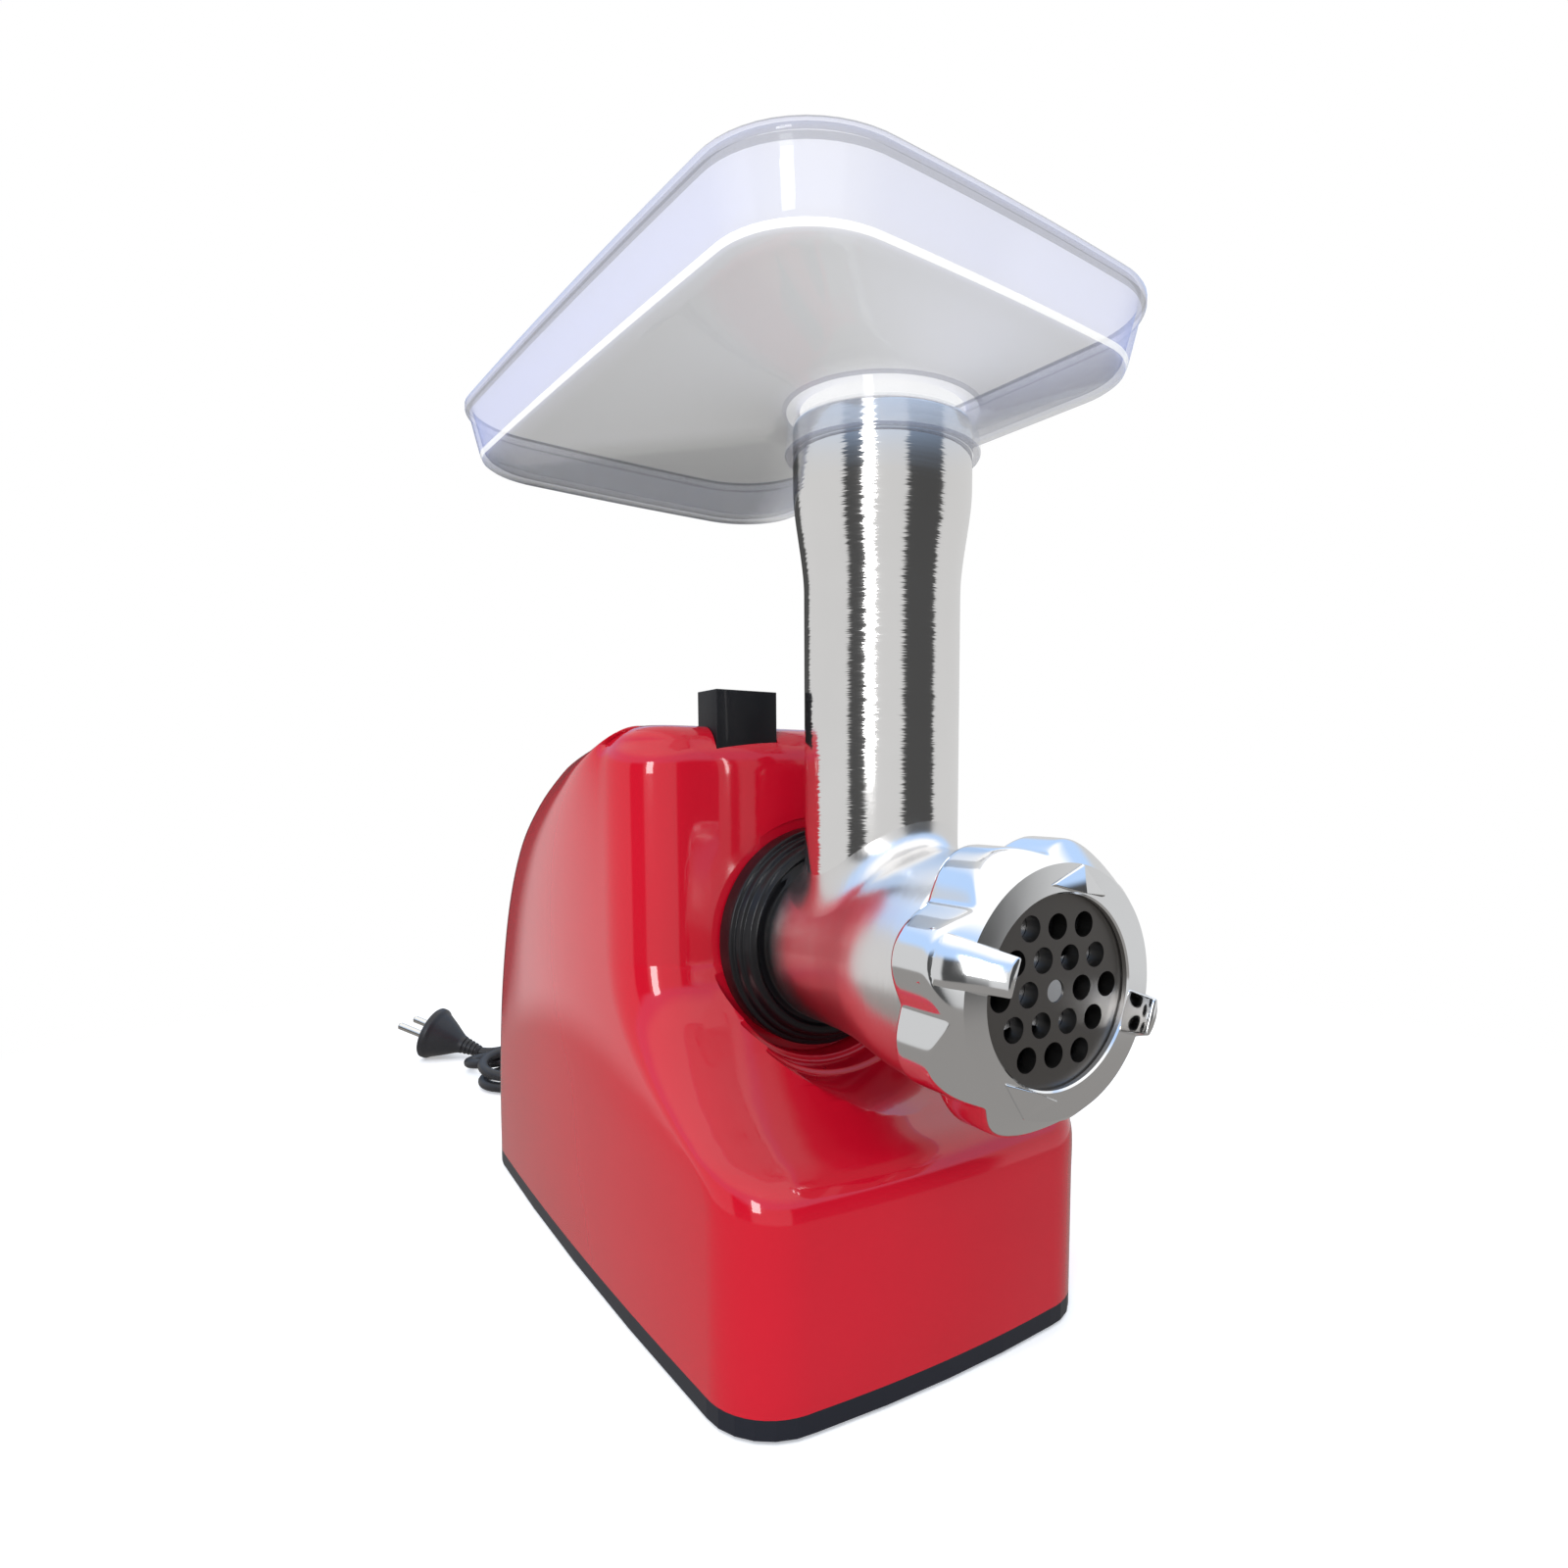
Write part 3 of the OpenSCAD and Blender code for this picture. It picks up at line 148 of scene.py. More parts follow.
def finish_of(name, **fixed):
    """A new material with a Principled shader; fixed sets the shader's own sockets."""
    m = bpy.data.materials.new(name)
    m.use_nodes = True
    shader = m.node_tree.nodes["Principled BSDF"]
    for key, value in fixed.items():
        if key == "Base_Color":
            value = (*value, 1)
        shader.inputs[key.replace("_", " ")].default_value = value
    place = Sock(m.node_tree, None).node("ShaderNodeTexCoord", out=3)
    return m, shader, place


def feed(m, shader, name, value):
    m.node_tree.links.new(value.out, shader.inputs[name])


def bumped(m, shader, height, depth, strength=1.0):
    """Feeds a height into the shader's normal; depth is in millimetres."""
    bump = height.node("ShaderNodeBump", Height=height, Distance=depth / 1000, Strength=strength)
    feed(m, shader, "Normal", bump)


def grain(place, scale, detail=2.0, **more):
    return place.node("ShaderNodeTexNoise", None, 0, Vector=place, Scale=scale, Detail=detail, **more)


def stretched(place, x, y, z):
    return place.node("ShaderNodeVectorMath", {"operation": "MULTIPLY"}, 0, i0=place, i1=(x, y, z))


print("operators ready")

# %% [markdown]
# ## The mains lead
# The lead is one length of round cable. It leaves the back low on the right, drops to the table
# in its own stiffness, turns, and is folded away into a flat hank behind the machine, where a tie
# holds it. The last stretch slips off the hank to the plug. The route is built from straights
# and half circles, so that it can't kink, and the curve follows it.

# %% Route of the lead
CORD_D = 6.4
LANES = (305, 344, 383)
FOLD = 19.5
LEVELS = (4.2, 10.6, 17.0)
LEFT_X, RIGHT_X = -31, 69
RELIEF_X, RELIEF_END = 45, 245


def fold(side, lane_a, lane_b, z0, z1, steps=9):
    """A half circle from one lane to the next; side is -1 on the left and 1 on the right."""
    cx = LEFT_X if side < 0 else RIGHT_X
    cy = (lane_a + lane_b) / 2
    turn = 1 if lane_b > lane_a else -1
    pts = []
    for i in range(steps + 1):
        a = math.pi * i / steps
        ease = (1 - math.cos(a)) / 2
        pts.append((cx + side * FOLD * math.sin(a), cy - turn * FOLD * math.cos(a), z0 + (z1 - z0) * ease))
    return pts


drop = [(0, 17), (4.5, 16.6), (8.8, 15.4), (13, 13.5), (17, 10.6), (21, 7.7), (25.2, 5.8), (29.5, 4.6),
        (34, 4.2)]
route = [(RELIEF_X, RELIEF_END + y, z) for y, z in drop]
route += [(RELIEF_X - 26 + 26 * math.cos(math.radians(a)), 279 + 26 * math.sin(math.radians(a)), 4.2)
          for a in (18, 36, 54, 72, 90)]
L1, L2, L3 = LEVELS
A, B, C = LANES
route += [(0, A, L1)] + fold(-1, A, B, L1, L1) + [(0, B, L1), (38, B, L1)] + fold(1, B, C, L1, L1)
route += [(38, C, L1), (0, C, L1)] + fold(-1, C, B, L1, L2) + [(0, B, L2), (38, B, L2)]
route += fold(1, B, A, L2, L2) + [(38, A, L2), (0, A, L2)] + fold(-1, A, B, L2, L3)
route += [(0, B, L3), (38, B, L3)] + fold(1, B, C, L3, L2) + [(48, C, L2), (28, C + 0.2, L2)]
route += [(12, C + 1.5, 10.5), (0, C + 3.5, 9.8), (-8, C + 5.4, 8.3), (-14, C + 6.6, 6.8)]
PLUG_DIR = Vector((-0.718, 0.604, 0.345))
PLUG_FACE = Vector((-63.5, 419.3, 18.4))
PLUG_L = 38
plug_tail = PLUG_FACE - PLUG_DIR * PLUG_L
bend = Vector((plug_tail.x + 26 * math.cos(math.radians(50)),
               plug_tail.y + 26 * math.sin(math.radians(50))))
route += [(bend.x + 26 * math.cos(math.radians(a)), bend.y + 26 * math.sin(math.radians(a)), z)
          for a, z in ((-90, 5.6), (-103, 4.9), (-116, 4.7))]
route += [(plug_tail.x, plug_tail.y, 5.1)]


def smooth_curve(name, points, radius, resolution=6):
    """A round tube on one smooth open spline through the points."""
    data = bpy.data.curves.new(name, "CURVE")
    data.dimensions = "3D"
    data.bevel_depth = radius / 1000
    data.bevel_resolution = resolution
    data.resolution_u = 8
    spline = data.splines.new("BEZIER")
    spline.bezier_points.add(len(points) - 1)
    spots = [at(*p) for p in points]
    for i, b in enumerate(spline.bezier_points):
        before, after = spots[max(i - 1, 0)], spots[min(i + 1, len(spots) - 1)]
        t = (after - before).normalized()
        b.co = spots[i]
        b.handle_left_type = b.handle_right_type = "FREE"
        b.handle_left = spots[i] - t * (spots[i] - before).length / 3
        b.handle_right = spots[i] + t * (after - spots[i]).length / 3
    o = bpy.data.objects.new(name, data)
    bpy.context.scene.collection.objects.link(o)
    return o


lead = smooth_curve("lead", route, CORD_D / 2)

# %% [markdown]
# ## Finishes
# The red shell is a coloured thermoplastic with a clear, wet-looking skin: a saturated base under a
# coat, with a faint waviness that makes long reflections wander. The dark mouldings are the same
# plastic in black. Each of these differs only in colour and in how much it waves.

# %% Glossy mouldings


def glossy(name, colour, shade, wave, coat=0.6, rough=0.16, sheen=0.5):
    """Moulded plastic: two close colours in slow clouds, a fine orange peel and a clear skin."""
    m, shader, place = finish_of(name, Coat_Weight=coat, Coat_Roughness=0.04, IOR=1.5,
                                 Specular_IOR_Level=sheen)
    clouds = grain(place, 14, 3)
    feed(m, shader, "Base Color", clouds.mix(colour, shade))
    feed(m, shader, "Roughness", rough + 0.08 * grain(place, 55, 4))
    peel = grain(place, 220, 2) * 0.35 + grain(place, 18, 1)
    bumped(m, shader, peel, wave)
    return m


shell_red = glossy("shell_red", (0.49, 0.004, 0.018), (0.42, 0.003, 0.013), 0.03, 1.0, 0.12, 0.12)
band_navy = glossy("band_navy", (0.004, 0.006, 0.013), (0.006, 0.008, 0.016), 0.05, 0.1, 0.35)
collar_black = glossy("collar_black", (0.003, 0.003, 0.004), (0.006, 0.006, 0.007), 0.04, 0.25, 0.35, 0.25)
button_black = glossy("button_black", (0.004, 0.004, 0.005), (0.008, 0.008, 0.009), 0.03, 0.05, 0.4, 0.2)
print("mouldings:", shell_red.name, band_navy.name, collar_black.name, button_black.name)

# %% [markdown]
# Cast and turned metal shows how it was finished. The tube is polished on a wheel, which leaves
# fine rings round it; the nut is tumbled bright with soft waves; the plate is ground steel. The
# rings come from a noise that is stretched flat: it changes quickly along one direction only.

# %% Metals


def brushed(place, axis, amount, along=45, across=1500):
    """The surface normal, tipped to either side along fine turning lines round an axis."""
    normal = place.node("ShaderNodeNewGeometry", None, 1)
    side = place.node("ShaderNodeVectorMath", {"operation": "CROSS_PRODUCT"}, 0, i0=axis, i1=normal)
    lines = grain(stretched(place, *(across if k else along for k in axis)), 1.0, 1.5) - 0.5
    tip = side.node("ShaderNodeVectorMath", {"operation": "SCALE"}, 0, i0=side, Scale=lines * amount)
    tipped = tip.node("ShaderNodeVectorMath", {"operation": "ADD"}, 0, i0=normal, i1=tip)
    return tipped.node("ShaderNodeVectorMath", {"operation": "NORMALIZE"}, 0, i0=tipped)


def metal(name, colour, rough, rings=None, ring_depth=0.01, wave=0.0, wave_scale=40, dirt=0.1, turned=None):
    m, shader, place = finish_of(name, Metallic=1.0)
    cloud = grain(place, 30, 4)
    dark = tuple(c * (1 - dirt) for c in colour)
    feed(m, shader, "Base Color", cloud.mix(colour, dark))
    height = grain(place, wave_scale, 1) * wave
    roughness = rough + 0.04 * cloud
    if rings:
        lines = grain(stretched(place, *rings), 1.0, 3)
        height = height + lines * ring_depth
        roughness = roughness + 0.06 * lines
    feed(m, shader, "Roughness", roughness)
    if turned:
        feed(m, shader, "Normal", brushed(place, *turned))
    else:
        bumped(m, shader, height, 1.0)
    return m


CAST = (0.92, 0.91, 0.90)
tube_metal = metal("tube_metal", CAST, 0.05, (20, 20, 1300), turned=((0, 0, 1), 0.20, 60, 3200))
barrel_metal = metal("barrel_metal", CAST, 0.20, (20, 1300, 20), turned=((0, 1, 0), 0.16, 60, 3200))
# Painted shade: the auger and knife are painted dark behind the plate, for the dim inside of the barrel; only the
# part in front of -101 mm, near the plate, keeps the bright steel colour.
worm_metal_painted_shade, worm_shader, worm_place = finish_of("worm_metal_painted_shade", Metallic=1.0)
worm_along = worm_place.node("ShaderNodeSeparateXYZ", None, 1, Vector=worm_place)
unshaded_tip = worm_along.math("LESS_THAN", at(0, -101, 0).y)
feed(worm_metal_painted_shade, worm_shader, "Base Color", unshaded_tip.mix((0.10, 0.10, 0.105), (0.55, 0.57, 0.60)))
feed(worm_metal_painted_shade, worm_shader, "Roughness", 0.55 - 0.35 * unshaded_tip)
nut_metal = metal("nut_metal", (0.88, 0.89, 0.90), 0.08, None, 0, 0.05, 60, 0.06)
plate_steel = metal("plate_steel", (0.20, 0.19, 0.18), 0.36, dirt=0.25)
steel = metal("steel", (0.66, 0.66, 0.67), 0.18, (60, 1400, 60), 0.004)
cast_grey = metal("cast_grey", (0.62, 0.63, 0.64), 0.38, (500, 500, 500), 0.03, 0, 30, 0.2)
gear_steel = metal("gear_steel", (0.42, 0.40, 0.38), 0.30, (700, 700, 700), 0.01, 0, 30, 0.3)
bronze = metal("bronze", (0.72, 0.50, 0.26), 0.25, (400, 400, 400), 0.01)
copper = metal("copper", (0.74, 0.33, 0.17), 0.28, (60, 1500, 60), 0.05, 0, 30, 0.3)
iron_sheets = metal("iron_sheets", (0.26, 0.27, 0.30), 0.35, (3, 1900, 3), 0.08, 0, 30, 0.2)
pin_metal = metal("pin_metal", (0.80, 0.79, 0.76), 0.12, None, 0, 0.01, 200)
print("metals ready")

# %% [markdown]
# Soft or dull plastics scatter light: the lead's jacket has a fine grain from the extruder, feet
# and brushes are matt.

# %% Matt materials


def matt(name, colour, rough, scale, depth):
    m, shader, place = finish_of(name)
    speck = grain(place, scale, 3)
    feed(m, shader, "Base Color", speck.mix(colour, tuple(min(1, c * 1.7 + 0.004) for c in colour)))
    feed(m, shader, "Roughness", rough + 0.12 * speck)
    bumped(m, shader, speck, depth)
    return m


jacket = matt("jacket", (0.010, 0.010, 0.012), 0.36, 900, 0.04)
rubber = matt("rubber", (0.016, 0.016, 0.016), 0.62, 700, 0.08)
carbon = matt("carbon", (0.020, 0.020, 0.021), 0.5, 900, 0.05)
fan_plastic = matt("fan_plastic", (0.06, 0.06, 0.07), 0.42, 300, 0.03)
print("matt materials ready")

# %% [markdown]
# The tray is a thin clear moulding. Real glass shaders are slow to clear up in a preview and can't
# be baked, so the surface is made partly transparent instead: nearly clear where it is seen face
# on, and denser where it turns away, as a thin wall looks. The grey of what is under the floor and
# the blue of the sky in the walls are painted reflections in the base colour. Thick corners look
# dark, so they get a finish of their own with painted dark lines, and the floor's edge a painted highlight.

# %% Clear moulding
clear, clear_shader, clear_place = finish_of("clear_moulding", IOR=2.3, Roughness=0.03)
turned_away = clear_place.node("ShaderNodeLayerWeight", None, 1, Blend=0.5)
facing = clear_place.node("ShaderNodeNewGeometry", None, 1)
painted_reflection_mask = facing.node("ShaderNodeSeparateXYZ", None, 2, Vector=facing).math("ABSOLUTE") ** 2.0
# Painted reflection: sky blue on the walls, dark ground grey on the floor; the same mask also makes the floor denser.
feed(clear, clear_shader, "Base Color", painted_reflection_mask.mix((0.32, 0.36, 0.66), (0.05, 0.055, 0.045)))
feed(clear, clear_shader, "Alpha", 0.11 + 0.08 * painted_reflection_mask + 0.28 * turned_away + 0.45 * turned_away ** 6.0)
bumped(clear, clear_shader, grain(clear_place, 26, 1), 0.12)
# A painted highlight: a bright cream line on the ring where the tray's floor meets its wall.
painted_highlight_edge = finish_of("painted_highlight_edge", IOR=1.9, Roughness=0.1, Alpha=0.6, Base_Color=(0.95, 0.93, 0.86))[0]
clear_neck = finish_of("clear_neck", IOR=1.9, Roughness=0.03, Alpha=0.14, Base_Color=(0.62, 0.62, 0.64))[0]
# Painted shade: dark blue-grey lines on the thick rim and neck edges, where thick clear plastic bends the light away.
painted_dark_edge = glossy("painted_dark_edge", (0.12, 0.13, 0.18), (0.16, 0.17, 0.22), 0.01, 0.3, 0.1)
painted_dark_edge.node_tree.nodes["Principled BSDF"].inputs["Alpha"].default_value = 0.5
print("clear moulding ready")

# %% [markdown]
# ## Dressing the solids
# Every solid of the frame gets the finish of the real piece. The hidden ones inside the housing
# are dressed too, because the machine may be shown opened.

# %% Finishes of the solids
DRESS = {
    shell_red: ["housing_shell"], band_navy: ["base_plate"], rubber: ["rubber_feet"],
    collar_black: ["mouth_collar", "switch_body", "power_rocker"], button_black: ["lock_button"],
    steel: ["base_screws", "collar_screws", "lock_yoke", "button_spring", "gearbox_screws",
            "idler_two_axle", "idler_one_axle", "motor_pinion", "rotor_shaft", "motor_bearings",
            "motor_screws", "auger_drive"],
    cast_grey: ["gearbox_front", "gearbox_rear", "motor_bracket"],
    gear_steel: ["output_gear", "idler_two", "idler_one"],
    bronze: ["output_bush", "brush_holders", "barrel_bush"],
    copper: ["rotor_windings", "commutator", "field_coils"],
    iron_sheets: ["rotor_core", "stator_core"], fan_plastic: ["cooling_fan"],
    carbon: ["carbon_brushes"], tube_metal: ["feed_tube"], barrel_metal: ["barrel"],
    worm_metal_painted_shade: ["auger", "knife"], plate_steel: ["cutting_plate"],
    nut_metal: ["ring_nut"], clear: ["feed_tray"], pin_metal: ["plug_pins"],
    jacket: ["strain_relief", "cord_lead", "cord_hank", "cord_tie", "cord_tail", "plug_body"],
}
for finish, nodes in DRESS.items():
    for node in nodes:
        solid = bpy.data.objects[node]
        solid.data.materials.clear()
        solid.data.materials.append(finish)
print("dressed", sum(len(n) for n in DRESS.values()), "solids")

# %% [markdown]
# ## Tools of the mesh maker
# Three small tools make nearly every finer piece: a stack of outlines joined into a closed body, a
# profile turned round an axis, and a cut that takes one body out of another. Real edges are never
# quite sharp, so profiles get their corners rounded before they are turned.

# %% Mesh tools


def new_piece(name, verts, faces, finish, sharp=35):
    mesh = bpy.data.meshes.new(name)
    mesh.from_pydata([tuple(v) for v in verts], [], faces)
    bm = bmesh.new()
    bm.from_mesh(mesh)
    bmesh.ops.recalc_face_normals(bm, faces=bm.faces)
    bm.to_mesh(mesh)
    bm.free()
    mesh.shade_smooth()
    mesh.set_sharp_from_angle(angle=math.radians(sharp))
    o = bpy.data.objects.new(name, mesh)
    bpy.context.scene.collection.objects.link(o)
    if finish:
        mesh.materials.append(finish)
    return o


def stack(name, rings, finish, sharp=35):
    """A closed body through outlines that all have the same number of points."""
    n, m = len(rings[0]), len(rings)
    faces = [tuple(range(n))[::-1], tuple((m - 1) * n + i for i in range(n))]
    faces += [(k * n + i, k * n + (i + 1) % n, (k + 1) * n + (i + 1) % n, (k + 1) * n + i)
              for k in range(m - 1) for i in range(n)]
    return new_piece(name, [p for ring in rings for p in ring], faces, finish, sharp)


def rounded(profile, radius, steps=4):
    """The profile with its inner corners rounded; a point may carry its own radius third."""
    out = [Vector(profile[0][:2])]
    for before, corner, after in zip(profile, profile[1:], profile[2:]):
        p, a, b = Vector(corner[:2]), Vector(before[:2]), Vector(after[:2])
        r = corner[2] if len(corner) > 2 else radius
        r = min(r, (a - p).length * 0.45, (b - p).length * 0.45)
        s, e = p + (a - p).normalized() * r, p + (b - p).normalized() * r
        for i in range(steps + 1):
            t = i / steps
            out.append(s * (1 - t) ** 2 + p * (2 * t * (1 - t)) + e * t * t)
    return out + [Vector(profile[-1][:2])]


def turned(name, profile, place, finish, segments=128, sharp=35):
    """Turns a profile of (radius, height) round an axis; place carries (across, up, along) to metres.
    A profile that starts and ends off the axis is closed into a ring."""
    ring = profile[0][0] > 0 and profile[-1][0] > 0
    verts, faces, n = [], [], len(profile)
    for k in range(segments):
        a = 2 * math.pi * k / segments
        verts += [place(r * math.cos(a), r * math.sin(a), h) for r, h in profile]
    for k in range(segments):
        j = (k + 1) % segments
        for i in range(n if ring else n - 1):
            faces.append((k * n + i, k * n + (i + 1) % n, j * n + (i + 1) % n, j * n + i))
    o = new_piece(name, verts, faces, finish, sharp)
    bm = bmesh.new()
    bm.from_mesh(o.data)
    bmesh.ops.remove_doubles(bm, verts=bm.verts, dist=1e-7)
    bmesh.ops.dissolve_degenerate(bm, edges=bm.edges, dist=1e-8)
    bmesh.ops.recalc_face_normals(bm, faces=bm.faces)
    bm.to_mesh(o.data)
    bm.free()
    o.data.shade_smooth()
    o.data.set_sharp_from_angle(angle=math.radians(sharp))
    return o


def head_place(x, z, y):
    return at(x, y, AXIS_Z + z)


def block(name, lo, hi, finish=None):
    painted_dark_rings = [at(x, y, z) for x in (lo[0], hi[0]) for y in (lo[1], hi[1]) for z in (lo[2], hi[2])]
    sides = [(0, 1, 3, 2), (4, 6, 7, 5), (0, 4, 5, 1), (2, 3, 7, 6), (0, 2, 6, 4), (1, 5, 7, 3)]
    return new_piece(name, painted_dark_rings, sides, finish)


def apply_all(o):
    dg = bpy.context.evaluated_depsgraph_get()
    mesh = bpy.data.meshes.new_from_object(o.evaluated_get(dg))
    o.modifiers.clear()
    o.data = mesh


def combine(body, others, operation="DIFFERENCE", sharp=35):
    for other in others:
        mod = body.modifiers.new("cut", "BOOLEAN")
        mod.operation, mod.solver, mod.object = operation, "EXACT", other
        bpy.context.view_layer.update()
        apply_all(body)
        bpy.data.objects.remove(other)
    body.data.shade_smooth()
    body.data.set_sharp_from_angle(angle=math.radians(sharp))


def soften(o, width, segments=3, angle=35):
    """Rounds the edges that are sharper than the angle."""
    mod = o.modifiers.new("edges", "BEVEL")
    mod.width, mod.segments = width / 1000, segments
    mod.limit_method, mod.angle_limit = "ANGLE", math.radians(angle)
    mod.harden_normals = False
    apply_all(o)
    o.data.shade_smooth()
    o.data.set_sharp_from_angle(angle=math.radians(50))


def stands_for(o, body, *nodes):
    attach(o, body)
    if nodes:
        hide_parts(*nodes)
        made_of = len(o.data.polygons) if o.type == "MESH" else "a curve"
        print(o.name, "stands for", ", ".join(nodes), "with", made_of)


print("tools ready")

# %% [markdown]
# ## The red shell
# The shell is one moulding: a long box whose back falls away in a curve, whose front is scooped
# out under the head, and whose side edges run over the top in a generous round. It is made as a
# dense stack of outlines. Front and back come from two smooth side profiles, and the top edges
# from quarter circles, so that reflections slide over it without steps.

# %% Side profiles
BODY_W, BODY_H, REAR_Y, FACE_Y, TOE_Y = 150, 212, 219, 13, -64.5
TOE_Z, FACE_Z, SHELL_Z, EDGE_R, CORNER_R, BOW = 66, 132, 8, 16, 24, 2.4
SCOOP = [(0, 0), (0.033, 0.106), (0.111, 0.182), (0.255, 0.25), (0.40, 0.318), (0.58, 0.417), (0.74, 0.53),
         (0.88, 0.667), (0.96, 0.803), (0.99, 0.92), (1, 1)]
BACK = [(1, 0), (0.991, 0.19), (0.953, 0.4), (0.868, 0.613), (0.75, 0.764), (0.605, 0.858), (0.44, 0.925),
        (0.3, 0.965), (0.23, 0.983), (0.17, 1)]
front_line = [(SHELL_Z, TOE_Y), (30, TOE_Y), (50, TOE_Y)]
front_line += [(TOE_Z + (FACE_Z - TOE_Z) * v, TOE_Y + (FACE_Y - TOE_Y) * u) for u, v in SCOOP]
front_line += [(150, FACE_Y), (180, FACE_Y), (BODY_H, FACE_Y)]
back_line = [(BODY_H * v, FACE_Y + (REAR_Y - FACE_Y) * u) for u, v in BACK]


def smooth_line(points, steps=12):
    """Catmull-Rom through the points, as a dense list."""
    out = []
    for i in range(len(points) - 1):
        p0, p1, p2, p3 = (Vector(points[min(max(i + k, 0), len(points) - 1)]) for k in (-1, 0, 1, 2))
        for s in range(steps):
            t = s / steps
            out.append(0.5 * (2 * p1 + (p2 - p0) * t + (2 * p0 - 5 * p1 + 4 * p2 - p3) * t * t
                              + (3 * p1 - p0 - 3 * p2 + p3) * t ** 3))
    return out + [Vector(points[-1])]


def reader(line):
    """A function that gives y at a height, from a list of (height, y)."""
    zs = [p[0] for p in line]

    def read(z):
        for k in range(len(zs) - 1):
            if zs[k] <= z <= zs[k + 1]:
                span = zs[k + 1] - zs[k]
                t = (z - zs[k]) / span if span else 0
                return line[k][1] * (1 - t) + line[k + 1][1] * t
        return line[0][1] if z < zs[0] else line[-1][1]
    return read


front_dense, back_dense = smooth_line(front_line), smooth_line(back_line)
front_at, back_at = reader(front_dense), reader(back_dense)
print("toe at", round(front_at(40), 1), "face at", round(front_at(180), 1), "back at", round(back_at(40), 1))

# %% Outline of one level


def arc(cx, cy, r, a0, a1, n):
    return [(cx + r * math.cos(math.radians(a0 + (a1 - a0) * i / n)),
             cy + r * math.sin(math.radians(a0 + (a1 - a0) * i / n))) for i in range(n + 1)]


def belly(a, b, out, n):
    pts = []
    for i in range(1, n):
        u = i / n
        k = 4 * u * (1 - u)
        pts.append((a[0] * (1 - u) + b[0] * u + out[0] * k, a[1] * (1 - u) + b[1] * u + out[1] * k))
    return pts


def plan(hw, y0, y1, r, b, n=12, m=16):
    """A rectangle with round corners and sides that belly out by b."""
    return (arc(-hw + r, y0 + r, r, 180, 270, n) + belly((-hw + r, y0), (hw - r, y0), (0, -b), m)
            + arc(hw - r, y0 + r, r, 270, 360, n) + belly((hw, y0 + r), (hw, y1 - r), (b, 0), m)
            + arc(hw - r, y1 - r, r, 0, 90, n) + belly((hw - r, y1), (-hw + r, y1), (0, b), m)
            + arc(-hw + r, y1 - r, r, 90, 180, n) + belly((-hw, y1 - r), (-hw, y0 + r), (-b, 0), m))


def draw_in(z):
    over = z - BODY_H + EDGE_R
    return 0 if over <= 0 else EDGE_R - math.sqrt(max(0, EDGE_R ** 2 - over ** 2))


def shell_ring(z, inset=0.0):
    zz = min(z + inset, BODY_H)
    y0 = front_at(zz) + 0.75 * draw_in(zz) + BOW + inset
    y1 = back_at(zz) - BOW - inset
    hw = BODY_W / 2 - draw_in(zz) - BOW - inset
    r = min(CORNER_R - inset, (y1 - y0) / 2 - 1, hw - 1)
    return [at(x, y, z) for x, y in plan(hw, y0, y1, r, BOW)]


levels = sorted({round(SHELL_Z + i * 4, 3) for i in range(12)}
                | {round(p[0], 3) for p in front_dense if 50 < p[0] < 196}
                | {round(BODY_H - EDGE_R + EDGE_R * math.sin(math.radians(a)), 3) for a in range(0, 91, 6)})
levels = [z for i, z in enumerate(levels) if i == 0 or z - levels[i - 1] > 0.05]
shell = stack("shell", [shell_ring(z) for z in levels], shell_red)
print("shell has", len(levels), "levels")

# %% [markdown]
# Then the openings are cut: the trough that widens in steps from the mouth down over the scoop,
# the mouth itself, the slot of the lock button, the pocket of the switch, the vents at the back
# and the hollow inside.

# %% Cuts in the shell
SEAT_Y, COLLAR_R = 13.6, 40.5
BUTTON = (-39, -15, 16.5, 31.5)
trough_profile = rounded([(0, 60), (34.3, 60), (34.3, SEAT_Y), (COLLAR_R + 3.5, SEAT_Y), (COLLAR_R + 3.5, 4.5, 0.6),
                          (COLLAR_R + 6, 4, 1), (COLLAR_R + 6.2, -5.6, 0.8), (COLLAR_R + 8, -6.4, 1.2),
                          (COLLAR_R + 15.6, -75), (0, -75)], 0.4, 3)
trough = turned("trough_cut", trough_profile, head_place, None, 192)
slot_cut = block("slot_cut", (BUTTON[0] - 0.3, BUTTON[2] - 0.3, 185),
                 (BUTTON[1] + 0.3, BUTTON[3] + 0.3, 230))
pocket_cut = block("pocket_cut", (73.2, 132.7, 58.7), (90, 167.3, 81.3))
hole_cut = block("hole_cut", (60, 135, 61), (90, 165, 79))
vents = [block("vent_cut", (i * 9 - 2, 195, 70), (i * 9 + 2, 240, 96)) for i in range(-3, 4)]
outlet = turned("lead_cut", [(0, 235), (8.2, 235), (8.2, 214), (6, 214), (6, 190), (0, 190)],
                lambda x, z, y: at(RELIEF_X + x, y, 17 + z), None, 48)
WALL = 3


def hollow_ring(z, y0):
    zz = min(z + WALL, BODY_H)
    hw, y1 = BODY_W / 2 - draw_in(zz) - BOW - WALL, back_at(zz) - BOW - WALL
    r = min(CORNER_R - WALL, (y1 - y0) / 2 - 1, hw - 1)
    return [at(x, y, z) for x, y in plan(hw, y0, y1, r, BOW, 6, 6)]


hollow_toe = TOE_Y + BOW + WALL
hollow_front = [(5, hollow_toe), (58, hollow_toe), (63, 21), (110, 21), (150, 21), (180, 21), (200, 26), (208, 31)]
hollow = stack("hollow_cut", [hollow_ring(z, y0) for z, y0 in hollow_front], None)
combine(shell, [hollow, trough, slot_cut, pocket_cut, hole_cut, outlet] + vents)
stands_for(shell, "base", "housing_shell")

